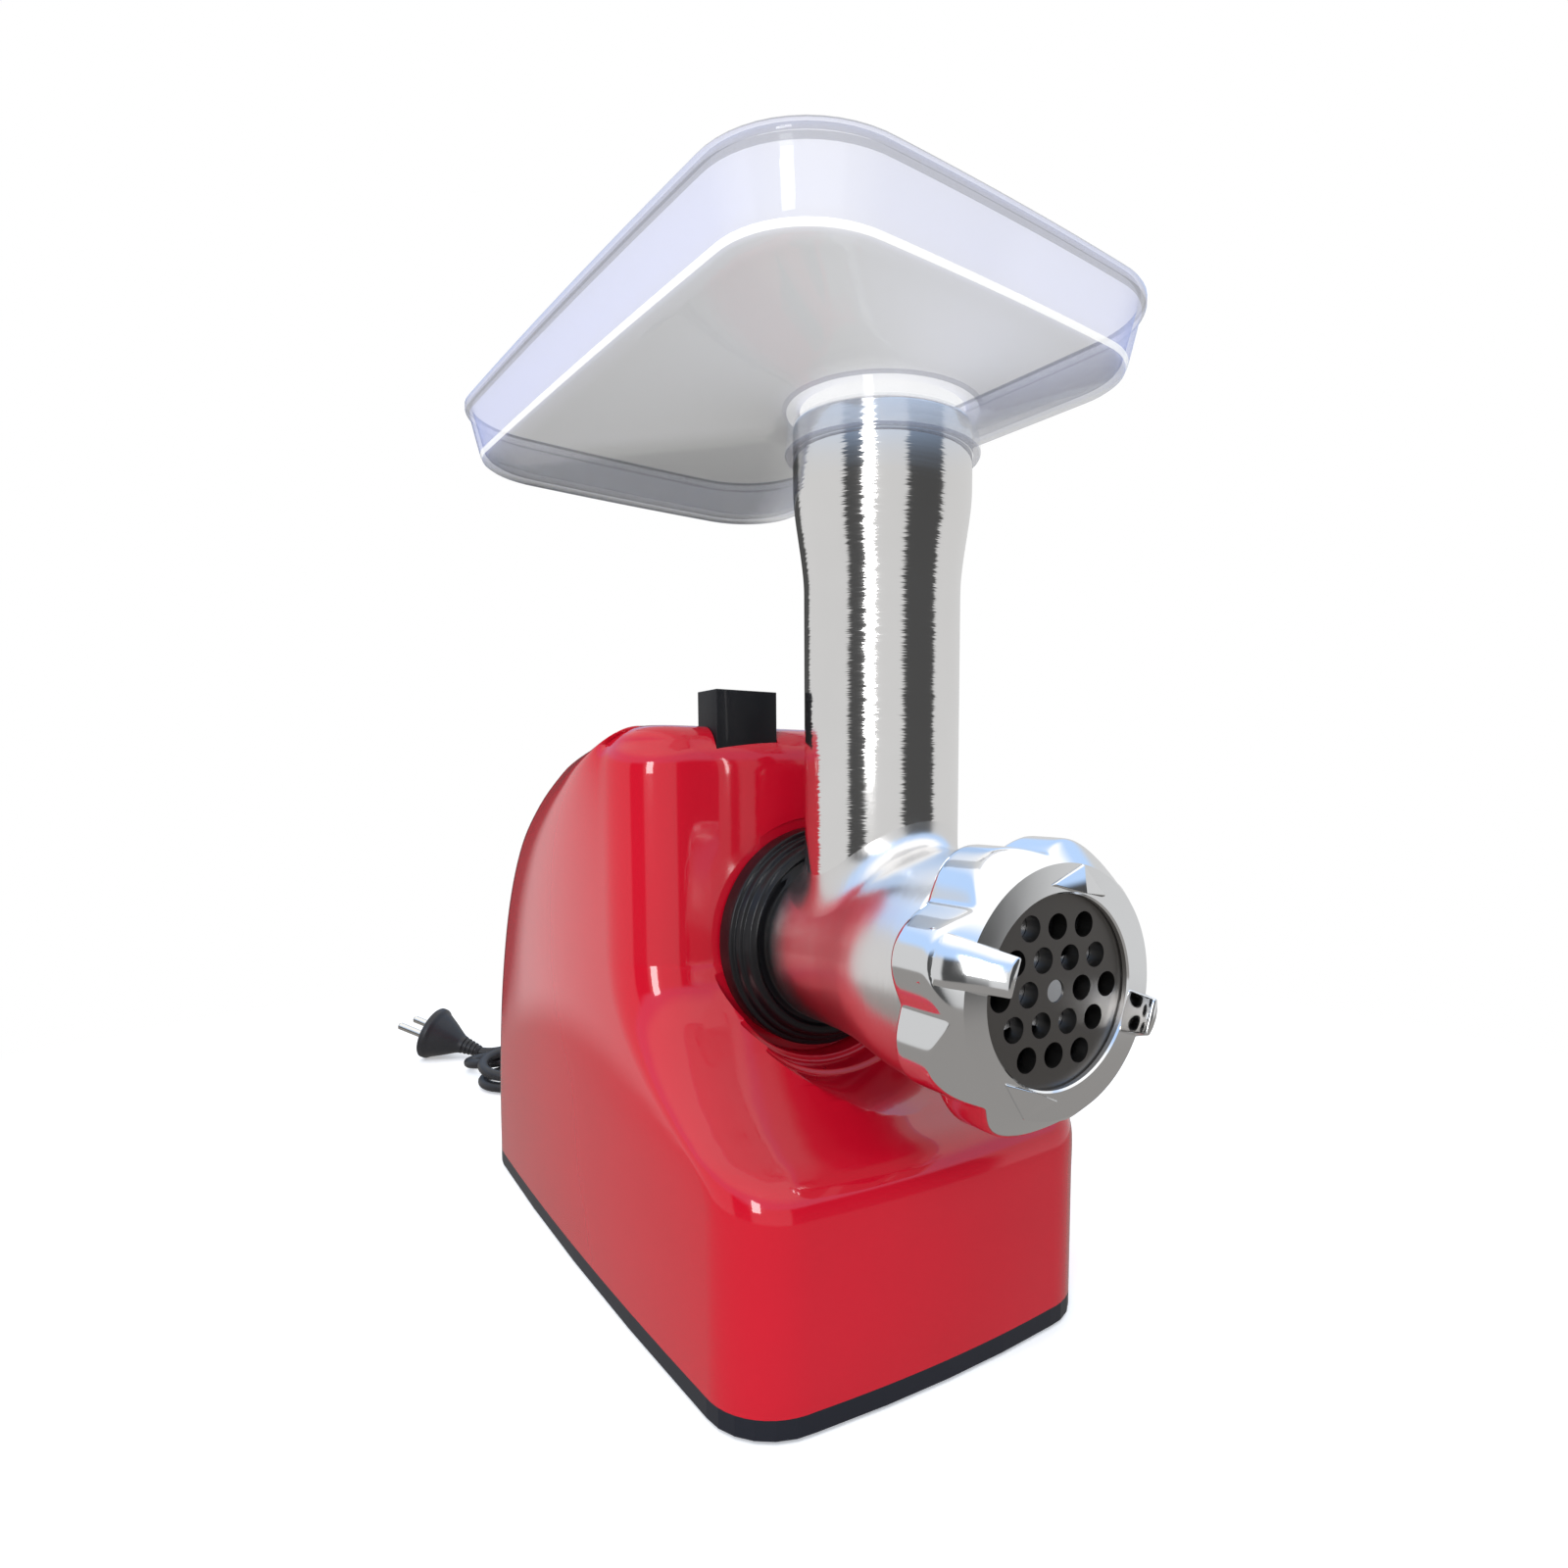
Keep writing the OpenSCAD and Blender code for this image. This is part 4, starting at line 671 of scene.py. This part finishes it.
# %% [markdown]
# ## Collar and lock button
# The black collar round the mouth is turned in steps, each with a small round edge that catches a
# thin line of light. The lock button is a plain block with four shallow grooves in its top and soft edges.

# %% Collar
collar_profile = rounded([(28.6, 22.8), (33.9, 22.8), (33.9, 13.6), (40.5, 13.6), (40.5, 6, 0.9), (38.6, 6, 0.5),
                          (38, 3.5, 0.8), (36.4, 3.5, 0.5), (35.5, 0.5, 1.0), (32.5, 0.5, 0.8), (31.6, 2.2, 0.6),
                          (28.6, 2.2, 0.5)], 0.3, 4)
collar = turned("collar", collar_profile + [collar_profile[0]], head_place, collar_black, 160)
stands_for(collar, "base", "mouth_collar")

# %% Lock button
button = block("button", (BUTTON[0], BUTTON[2], 193.6), (BUTTON[1], BUTTON[3], 224.4), button_black)
groove = [block("groove_cut", (BUTTON[0] + 3, BUTTON[2] + 3 + i * 3, 224),
                (BUTTON[1] - 3, BUTTON[2] + 4 + i * 3, 226)) for i in range(4)]
combine(button, groove)
soften(button, 0.9, 3)
stands_for(button, "lock", "lock_button")

# %% [markdown]
# ## The casting of the head
# Barrel and tube are one polished casting. The barrel swells towards the nut and carries the tube,
# whose upper end flares. Both are turned, the tube's lower edge follows the barrel's wall, and a
# ring with a hollow face fills the corner between them, since no casting has a sharp inner corner.

# %% Barrel
BARREL_LINE = [(28.5, 21.8), (28.5, 0.4, 0.3), (30, 0.4, 0.5), (30, -10), (30.3, -24), (31.2, -35), (32.7, -44.5),
               (34.3, -52.5), (35.6, -60), (36.4, -68), (36.5, -84.4, 0.8), (34.5, -85.4, 0.3), (34.5, -104.3)]
barrel_dense = rounded(BARREL_LINE, 6, 5)
barrel_inside = [Vector(p) for p in ((31.1, -104.3), (31.1, -101.8), (25.2, -101.8), (25.2, 13), (12, 13),
                                     (12, 21.8))]
barrel = turned("barrel_skin", barrel_dense + barrel_inside, head_place, barrel_metal, 224)
combine(barrel, [turned("bore_cut", [(0, 0), (22.6, 0), (22.6, 60), (0, 60)],
                        lambda x, y, z: at(x, TUBE_Y + y, AXIS_Z + z), None, 128)])
barrel_r_at = reader(sorted((p.y, p.x) for p in barrel_dense if -80 < p.y < 0.2))
stands_for(barrel, "head", "barrel")

# %% Feed tube
TUBE_R, TUBE_IN, STEPS = 25.6, 22.6, 192
tube_side = rounded([(TUBE_R, 60), (TUBE_R, 256, 5), (26.4, 263.5, 4), (28.4, 277, 4), (29, 283, 3), (29, 304.6),
                     (28.6, 305.5, 0.4), (27.6, 305.6)], 0.4, 5)
tube_inside = [(26.4, 305.6), (26, 305.2), (26, 279.5), (22.6, 259.5)]


def on_barrel(x, y, grow=0.0):
    """The height of the barrel's skin above the head's axis, at a place beside the tube."""
    r = barrel_r_at(y) + grow
    return math.sqrt(max(9.0, r * r - x * x))


verts, faces, strip = [], [], []
for k in range(STEPS):
    a = 2 * math.pi * k / STEPS
    c, d = math.cos(a), math.sin(a)
    foot_out = AXIS_Z + on_barrel(TUBE_R * c, TUBE_Y + TUBE_R * d, -2)
    foot_in = AXIS_Z + on_barrel(TUBE_IN * c, TUBE_Y + TUBE_IN * d, -2)
    line = [(TUBE_R, foot_out), (TUBE_R, 182)] + [tuple(p) for p in tube_side[1:]]
    line += tube_inside + [(TUBE_IN, foot_in)]
    verts += [at(r * c, TUBE_Y + r * d, z) for r, z in line]
    strip.append((c, d))
n = len(line)
for k in range(STEPS):
    j = (k + 1) % STEPS
    faces += [(k * n + i, k * n + (i + 1) % n, j * n + (i + 1) % n, j * n + i) for i in range(n)]
tube = new_piece("tube_skin", verts, faces, tube_metal)
stands_for(tube, "head", "feed_tube")

# %% Corner between tube and barrel
FILLET, ARC = 10, 12
rings = []
for c, d in strip:
    x, y = TUBE_R * c, TUBE_Y + TUBE_R * d
    corner = Vector((x, y, on_barrel(x, y)))
    slope = (barrel_r_at(y + 0.5) - barrel_r_at(y - 0.5))
    normal = Vector((corner.x, -slope * barrel_r_at(y), corner.z)).normalized()
    away = Vector((c, d, 0))
    away = (away - normal * away.dot(normal)).normalized()
    low = corner + away * FILLET
    shrink = barrel_r_at(low.y) / math.hypot(low.x, low.z)
    low = Vector((low.x * shrink, low.y, low.z * shrink))
    high = corner + Vector((0, 0, FILLET))
    curve = [high * (1 - t) ** 2 + corner * (2 * t * (1 - t)) + low * t * t
             for t in (i / ARC for i in range(ARC + 1))]
    inner_corner = corner - normal * 1.0 - Vector((c, d, 0)) * 0.8
    rings.append([at(p.x, p.y, AXIS_Z + p.z) for p in [*curve, inner_corner]])
n = ARC + 2
fillet = new_piece("corner_ring", [p for ring in rings for p in ring],
                   [(k * n + i, k * n + (i + 1) % n, (k + 1) % STEPS * n + (i + 1) % n, (k + 1) % STEPS * n + i)
                    for k in range(STEPS) for i in range(n)], barrel_metal)
stands_for(fillet, "head")

# %% [markdown]
# ## The ring nut
# The nut screws over the barrel and presses the plate home. It is a heavy bright casting: broad
# lobes for the hand with hollows between them, a chamfer that runs up to a flat face, two lugs
# that stand out for a spanner bar and two small peaks between them.

# %% Body of the nut
PLATE_Y = -106.8
NUT_FRONT, NUT_BACK = -109.2, -85.8
LOBE_R, VALLEY_R, FACE_R, LIP_R = 42.3, 37.6, 35.0, 26.8
LOBES, NUT_TURN = 8, -18


def lobe(a):
    """0 in the middle of a hollow and 1 on a lobe; the lobes are broad and the hollows narrow."""
    return (0.5 + 0.5 * math.cos(math.radians((a - NUT_TURN) * LOBES))) ** 0.62


def nut_outer(a, y):
    full = VALLEY_R + (LOBE_R - VALLEY_R) * lobe(a)
    cone = FACE_R + (y - NUT_FRONT) * 0.86
    k = 0.9
    r = (full + cone - math.sqrt((full - cone) ** 2 + k * k)) / 2 + 0.1
    back = min(1, max(0, (NUT_BACK - y) / 2.2))
    return r - 1.6 * (1 - math.sqrt(max(0, 1 - (1 - back) ** 2)))


SIDES = 288
nut_ys = [NUT_FRONT + 0.6 * i for i in range(19)] + [-96.5, -94, -91.5, -89.5, -88.2]
nut_ys += [NUT_BACK - 2.2 * (1 - math.sin(math.pi / 2 * i / 6)) for i in range(1, 7)]
inner = [(34.7, NUT_BACK), (34.7, -106.4), (34.2, PLATE_Y), (LIP_R + 0.5, PLATE_Y), (LIP_R, PLATE_Y - 0.5),
         (LIP_R, NUT_FRONT + 0.5), (LIP_R + 0.5, NUT_FRONT), (FACE_R - 1.2, NUT_FRONT)]
verts, faces = [], []
for k in range(SIDES):
    a = 360 * k / SIDES
    verts += [at(*polar(nut_outer(a, y), a, y)) for y in nut_ys] + [at(*polar(r, a, y)) for r, y in inner]
n = len(nut_ys) + len(inner)
for k in range(SIDES):
    j = (k + 1) % SIDES
    faces += [(k * n + i, k * n + (i + 1) % n, j * n + (i + 1) % n, j * n + i) for i in range(n)]
nut = new_piece("nut", verts, faces, nut_metal, 40)
print("nut has", len(nut.data.polygons), "faces")

# %% Lugs and peaks


def lug(name, degrees):
    """A stout lug that flows out of a lobe's outer face and ends over the edge of the opening."""
    out = []
    for ahead, r0, r1, half in ((11, 30.0, 41.9, 7.6), (6, 28.0, 40.9, 7.0), (2, 27.0, 38.4, 6.5),
                                (-1, 26.9, 36.0, 6.1), (-5, 26.9, 32.8, 5.6), (-9, 26.9, 29.6, 5.2)):
        y, ring = NUT_FRONT + ahead, []
        for r, side in ((r0, -1), (r1, -1), (r1, -0.5), (r1, 0), (r1, 0.5), (r1, 1), (r0, 1), (r0, 0)):
            arch = r - 1.3 * side * side if r == r1 else r
            a = math.degrees(math.atan2(side * half, arch))
            ring.append(at(*polar(math.hypot(arch, side * half), degrees + a, y)))
        out.append(ring)
    o = stack(name, out, nut_metal, 30)
    soften(o, 0.6, 3, 30)
    return o


def peak(name, degrees):
    """A low roof with three corners on the face: its base at the opening, its point at the edge."""
    pts = [(27.2, -11.2, 0.6), (35.4, 0, 0.6), (27.2, 11.2, 0.6), (28.0, -10.4, -0.5), (34.9, 0, -0.6),
           (28.0, 10.4, -0.5), (27.3, 0, -3.2)]
    spots = []
    for r, t, y in pts:
        a = math.degrees(math.atan2(t, r))
        spots.append(at(*polar(max(math.hypot(r, t), 27.1), degrees + a, NUT_FRONT + y)))
    sides = [(2, 1, 0), (0, 1, 4, 3), (1, 2, 5, 4), (3, 4, 6), (4, 5, 6), (2, 0, 3, 6, 5)]
    o = new_piece(name, spots, sides, nut_metal, 20)
    soften(o, 0.25, 2, 20)
    return o


combine(nut, [lug("lug_a", NUT_TURN), lug("lug_b", NUT_TURN + 180), peak("peak_a", 78.5), peak("peak_b", 247)],
        "UNION", 38)
stands_for(nut, "nut", "ring_nut")

# %% [markdown]
# ## The feed tray
# The tray is moulded in one clear piece: a wide floor that falls to the neck, a wall that leans
# out a little, and a rolled rim with a second line just under it. It sits on the tube's metal rim,
# with a skirt outside it. The shape is a stack of outlines from the skirt up over the rim and down
# again inside, so that the wall has its real thickness all over.

# %% Tray
TRAY_W, TRAY_FRONT, TRAY_BACK, TRAY_R, TRAY_TURN = 164, 60, 196, 36, 4
FLARE_R, THROAT_R, NECK_R, TUBE_TOP = 29, 26.8, 31.3, 305.6
turn_tray = Matrix.Rotation(math.radians(TRAY_TURN), 3, "Z")


def tray_plan(inset):
    b = 0.8
    return plan(TRAY_W / 2 - inset - b, -TRAY_FRONT + inset + b, TRAY_BACK - inset - b, TRAY_R - inset, b, 14, 14)


def tray_ring(neck_r, inset, blend, z):
    """blend 0 is the round neck and blend 1 the rim's own outline."""
    ring = []
    for wide in tray_plan(inset):
        w = Vector(wide)
        p = w.normalized() * neck_r * (1 - blend) + w * blend
        p = turn_tray @ Vector((p.x, p.y, 0))
        ring.append(at(p.x, TUBE_Y + p.y, z))
    return ring


def tray_floor(neck_r, inset, wall_z, neck_z, steps):
    """The floor from the neck out to the foot of the wall, rounded at both ends."""
    out = []
    for i in range(steps + 1):
        t = i / steps
        rise = 0.86 * t + 0.14 * (t * t * (3 - 2 * t))
        z = neck_z + (wall_z - neck_z) * rise
        out.append((neck_r, inset, t, z))
    return out


outer = [(NECK_R, 0, 0, 296.2), (NECK_R + 0.35, 0, 0, 296.8), (NECK_R + 0.35, 0, 0, 299.4), (NECK_R, 0, 0, 300.0),
         (NECK_R - 0.3, 0, 0, 304), (NECK_R - 0.4, 0, 0, 308.4), (NECK_R - 0.2, 0, 0, 310.2)]
outer += tray_floor(NECK_R + 1.2, 7.2, 324.6, 311.0, 10)
outer += [(0, 6.0, 1, 325.4), (0, 5.2, 1, 327.2), (0, 4.0, 1, 332), (0, 1.6, 1, 342.3), (0, 1.2, 1, 343.0),
          (0, 0.3, 1, 343.5), (0, 0.0, 1, 344.2), (0, 0.0, 1, 346.2), (0, 0.5, 1, 346.9), (0, 1.1, 1, 347.0)]
inside = [(0, 1.9, 1, 346.6), (0, 2.6, 1, 345.2), (0, 3.4, 1, 342.0), (0, 6.0, 1, 332), (0, 7.0, 1, 328.6),
          (0, 8.0, 1, 327.4)]
inside += tray_floor(THROAT_R + 3.4, 9.4, 326.6, 313.2, 10)[::-1]
inside += [(THROAT_R + 1.2, 0, 0, 312.2), (THROAT_R, 0, 0, 310.4), (THROAT_R, 0, 0, TUBE_TOP + 0.05),
           (FLARE_R + 0.25, 0, 0, TUBE_TOP + 0.05), (FLARE_R + 0.25, 0, 0, 296.2)]
tray_rings = [tray_ring(*level) for level in outer + inside]
n, m = len(tray_rings[0]), len(tray_rings)
tray = new_piece("tray", [p for ring in tray_rings for p in ring],
                 [(k * n + i, k * n + (i + 1) % n, (k + 1) % m * n + (i + 1) % n, (k + 1) % m * n + i)
                  for k in range(m) for i in range(n)], clear, 40)
tray.data.materials.append(painted_dark_edge)
tray.data.materials.append(clear_neck)
tray.data.materials.append(painted_highlight_edge)
# Rings that get the painted dark lines; ring 18, where floor meets wall, gets the painted highlight.
painted_dark_rings = {0, 6, 21, 22, 25, 28, m - 1}
for i, face in enumerate(tray.data.polygons):
    if i // n in painted_dark_rings:
        face.material_index = 1
    elif i // n == 18:
        face.material_index = 3
    elif face.center.z < at(0, 0, 311).z:
        face.material_index = 2
stands_for(tray, "tray", "feed_tray")

# %% [markdown]
# ## Plug, strain relief and tie
# The plug is a solid rubber moulding: a disc face, a waist for the fingers and a ribbed tail that
# keeps the lead from kinking. The strain relief at the housing is ribbed the same way.

# %% Plug
toward = PLUG_DIR.normalized()
side = toward.cross(Vector((0, 0, 1))).normalized()
up = side.cross(toward)


def plug_place(x, y, h):
    return at(*(PLUG_FACE + side * x + up * y + toward * h))


plug_profile = rounded([(0, 0), (16.8, 0, 0.6), (18, -1.2, 0.5), (18, -4.2, 1), (16.2, -6.2, 1.5), (12, -14, 3),
                        (8.4, -20, 2), (6.4, -23.5, 1), (5.9, -26, 0.4)], 0.5, 4)
for i in range(4):
    h = -26 - i * 2.8
    plug_profile += [Vector((5.9 - i * 0.45, h)), Vector((4.9 - i * 0.4, h - 0.5)), Vector((4.8 - i * 0.4, h - 1.3)),
                     Vector((5.5 - i * 0.45, h - 1.8))]
plug_profile += [Vector((3.7, -37.6)), Vector((3.4, -38)), Vector((0, -38))]
plug = turned("plug", plug_profile, plug_place, jacket, 96)
stands_for(plug, "base", "plug_body")

# %% Strain relief
relief_profile = [Vector(p) for p in ((0, 209), (7.9, 209), (7.9, 212), (5.8, 212), (5.8, 214.1), (7.8, 214.1),
                                      (7.9, 218), (7.4, 219), (6.4, 220.4))]
for i in range(5):
    y = 221.6 + i * 4.2
    relief_profile += [Vector((6.4 - i * 0.4, y)), Vector((5.2 - i * 0.3, y + 0.7)), Vector((5.1 - i * 0.3, y + 2.0)),
                       Vector((6.1 - i * 0.4, y + 2.8))]
relief_profile += [Vector((4.3, 244.4)), Vector((4.0, 245)), Vector((0, 245))]
relief = turned("relief", relief_profile, lambda x, z, y: at(RELIEF_X + x, y, 17 + z), jacket, 96)
stands_for(relief, "base", "strain_relief")

# %% Tie
TIE_X = 19
tie = block("tie", (TIE_X - 3, 300.5, 0.0), (TIE_X + 3, 387.5, 21.4), jacket)
combine(tie, [block("tie_cut", (TIE_X - 5, 301.4, 0.9), (TIE_X + 5, 386.6, 20.5))])
soften(tie, 0.4, 2)
stands_for(tie, "base", "cord_tie")

# %% The lead is dressed and stands for the cord solids
lead.data.materials.append(jacket)
stands_for(lead, "base", "cord_lead", "cord_hank", "cord_tail")

# %% [markdown]
# ## Floor and light
# The machine stands on a white sweep. To the camera the floor is a soft white that fades into the
# white behind it, so only the shadows stay. What the metal and the wet-looking red mirror is the
# world, a plain studio: pale walls with three dark flags, a grey ground, a pale blue above and a
# white softbox overhead. Flags are black cards that give bright metal its dark lines.

# %% Floor
FLOOR_HALF = 6
floor_corners = [Vector((x * FLOOR_HALF, y * FLOOR_HALF, 0)) for x, y in ((-1, -1), (1, -1), (1, 1), (-1, 1))]
floor = new_piece("floor", floor_corners, [(0, 1, 2, 3)], None)
pale = bpy.data.materials.new("pale_floor")
pale.use_nodes = True
tree = pale.node_tree
floor_shader = tree.nodes["Principled BSDF"]
floor_shader.inputs["Base Color"].default_value = (0.93, 0.93, 0.93, 1)
floor_shader.inputs["Roughness"].default_value = 0.9
floor_shader.inputs["Specular IOR Level"].default_value = 0.1
floor_shader.inputs["Emission Color"].default_value = (1, 1, 1, 1)
floor_shader.inputs["Emission Strength"].default_value = 0.30
white = Sock(tree, None).node("ShaderNodeEmission", Color=(1, 1, 1, 1), Strength=1.0)
spot = Sock(tree, None).node("ShaderNodeNewGeometry")
far_off = spot.node("ShaderNodeVectorMath", {"operation": "LENGTH"}, 1, i0=spot)
fade = far_off.node("ShaderNodeMapRange", {"interpolation_type": "SMOOTHSTEP"}, 0, Value=far_off, From_Min=0.30,
                    From_Max=0.62)
to_camera = Sock(tree, None).node("ShaderNodeLightPath", out=0)
mixer = tree.nodes.new("ShaderNodeMixShader")
tree.links.new((fade * to_camera).out, mixer.inputs[0])
tree.links.new(floor_shader.outputs[0], mixer.inputs[1])
tree.links.new(white.out, mixer.inputs[2])
tree.links.new(mixer.outputs[0], tree.nodes["Material Output"].inputs[0])
floor.data.materials.append(pale)
floor.visible_glossy = False
print("floor laid")

# %% World


def bands(turn, spots):
    """A ring of plain bands round the horizon; each colour holds from its angle to the next one."""
    stops = []
    for (start, colour), (end, _) in zip(spots, spots[1:] + [(181.5, None)]):
        stops += [((start + 181.5) / 360, colour), ((end + 178.5) / 360, colour)]
    return turn.node("ShaderNodeValToRGB", {"stops": stops}, 0, Fac=turn)


PALE, FLAG = (0.55, 0.55, 0.55), (0.06, 0.06, 0.06)
GROUND, SKY = (0.25, 0.24, 0.23), (0.45, 0.62, 0.90)
WALLS = [(-180, PALE), (-175, FLAG), (-150, PALE), (-95, FLAG), (-45, PALE), (60, FLAG), (100, PALE)]
world = bpy.data.worlds.new("studio")
bpy.context.scene.world = world
world.use_nodes = True
wt = world.node_tree
sky = Sock(wt, None).node("ShaderNodeTexCoord", out=0)
x, y, z = (sky.node("ShaderNodeSeparateXYZ", None, k, Vector=sky) for k in range(3))
compass = y.math("ARCTAN2", x) / (2 * math.pi) + 0.5


def climb(low, high):
    return z.node("ShaderNodeMapRange", {"interpolation_type": "SMOOTHSTEP"}, 0, Value=z, From_Min=low,
                  From_Max=high)


overhead = climb(0.55, 0.75).mix(SKY, (1, 1, 1))
around = climb(-0.25, -0.20).mix(GROUND, bands(compass, WALLS))
around = climb(0.30, 0.45).mix(around, overhead)
seen = Sock(wt, None).node("ShaderNodeLightPath", out=0)
bg = wt.nodes["Background"]
wt.links.new(seen.mix(around, (1, 1, 1)).out, bg.inputs[0])
wt.links.new((1.25 - 0.25 * seen).out, bg.inputs[1])
print("world lit")

# %% Lamps


def lamp(name, spot, target, size, energy, colour=(1, 1, 1)):
    data = bpy.data.lights.new(name, "AREA")
    data.shape, data.size, data.size_y = "RECTANGLE", size[0], size[1]
    data.energy, data.color = energy, colour
    o = bpy.data.objects.new(name, data)
    bpy.context.scene.collection.objects.link(o)
    o.location = spot
    o.rotation_euler = (Vector(target) - Vector(spot)).to_track_quat("-Z", "Y").to_euler()
    return o


lamp("key", (-0.9, -0.7, 1.5), (0, 0, 0.1), (0.8, 0.8), 10).visible_glossy = False
lamp("panel", (-1.07, -0.9, 0.52), (0, 0, 0.2), (0.26, 0.60), 5.5)
bpy.context.scene.view_settings.view_transform = "Standard"
print("lamps hung")
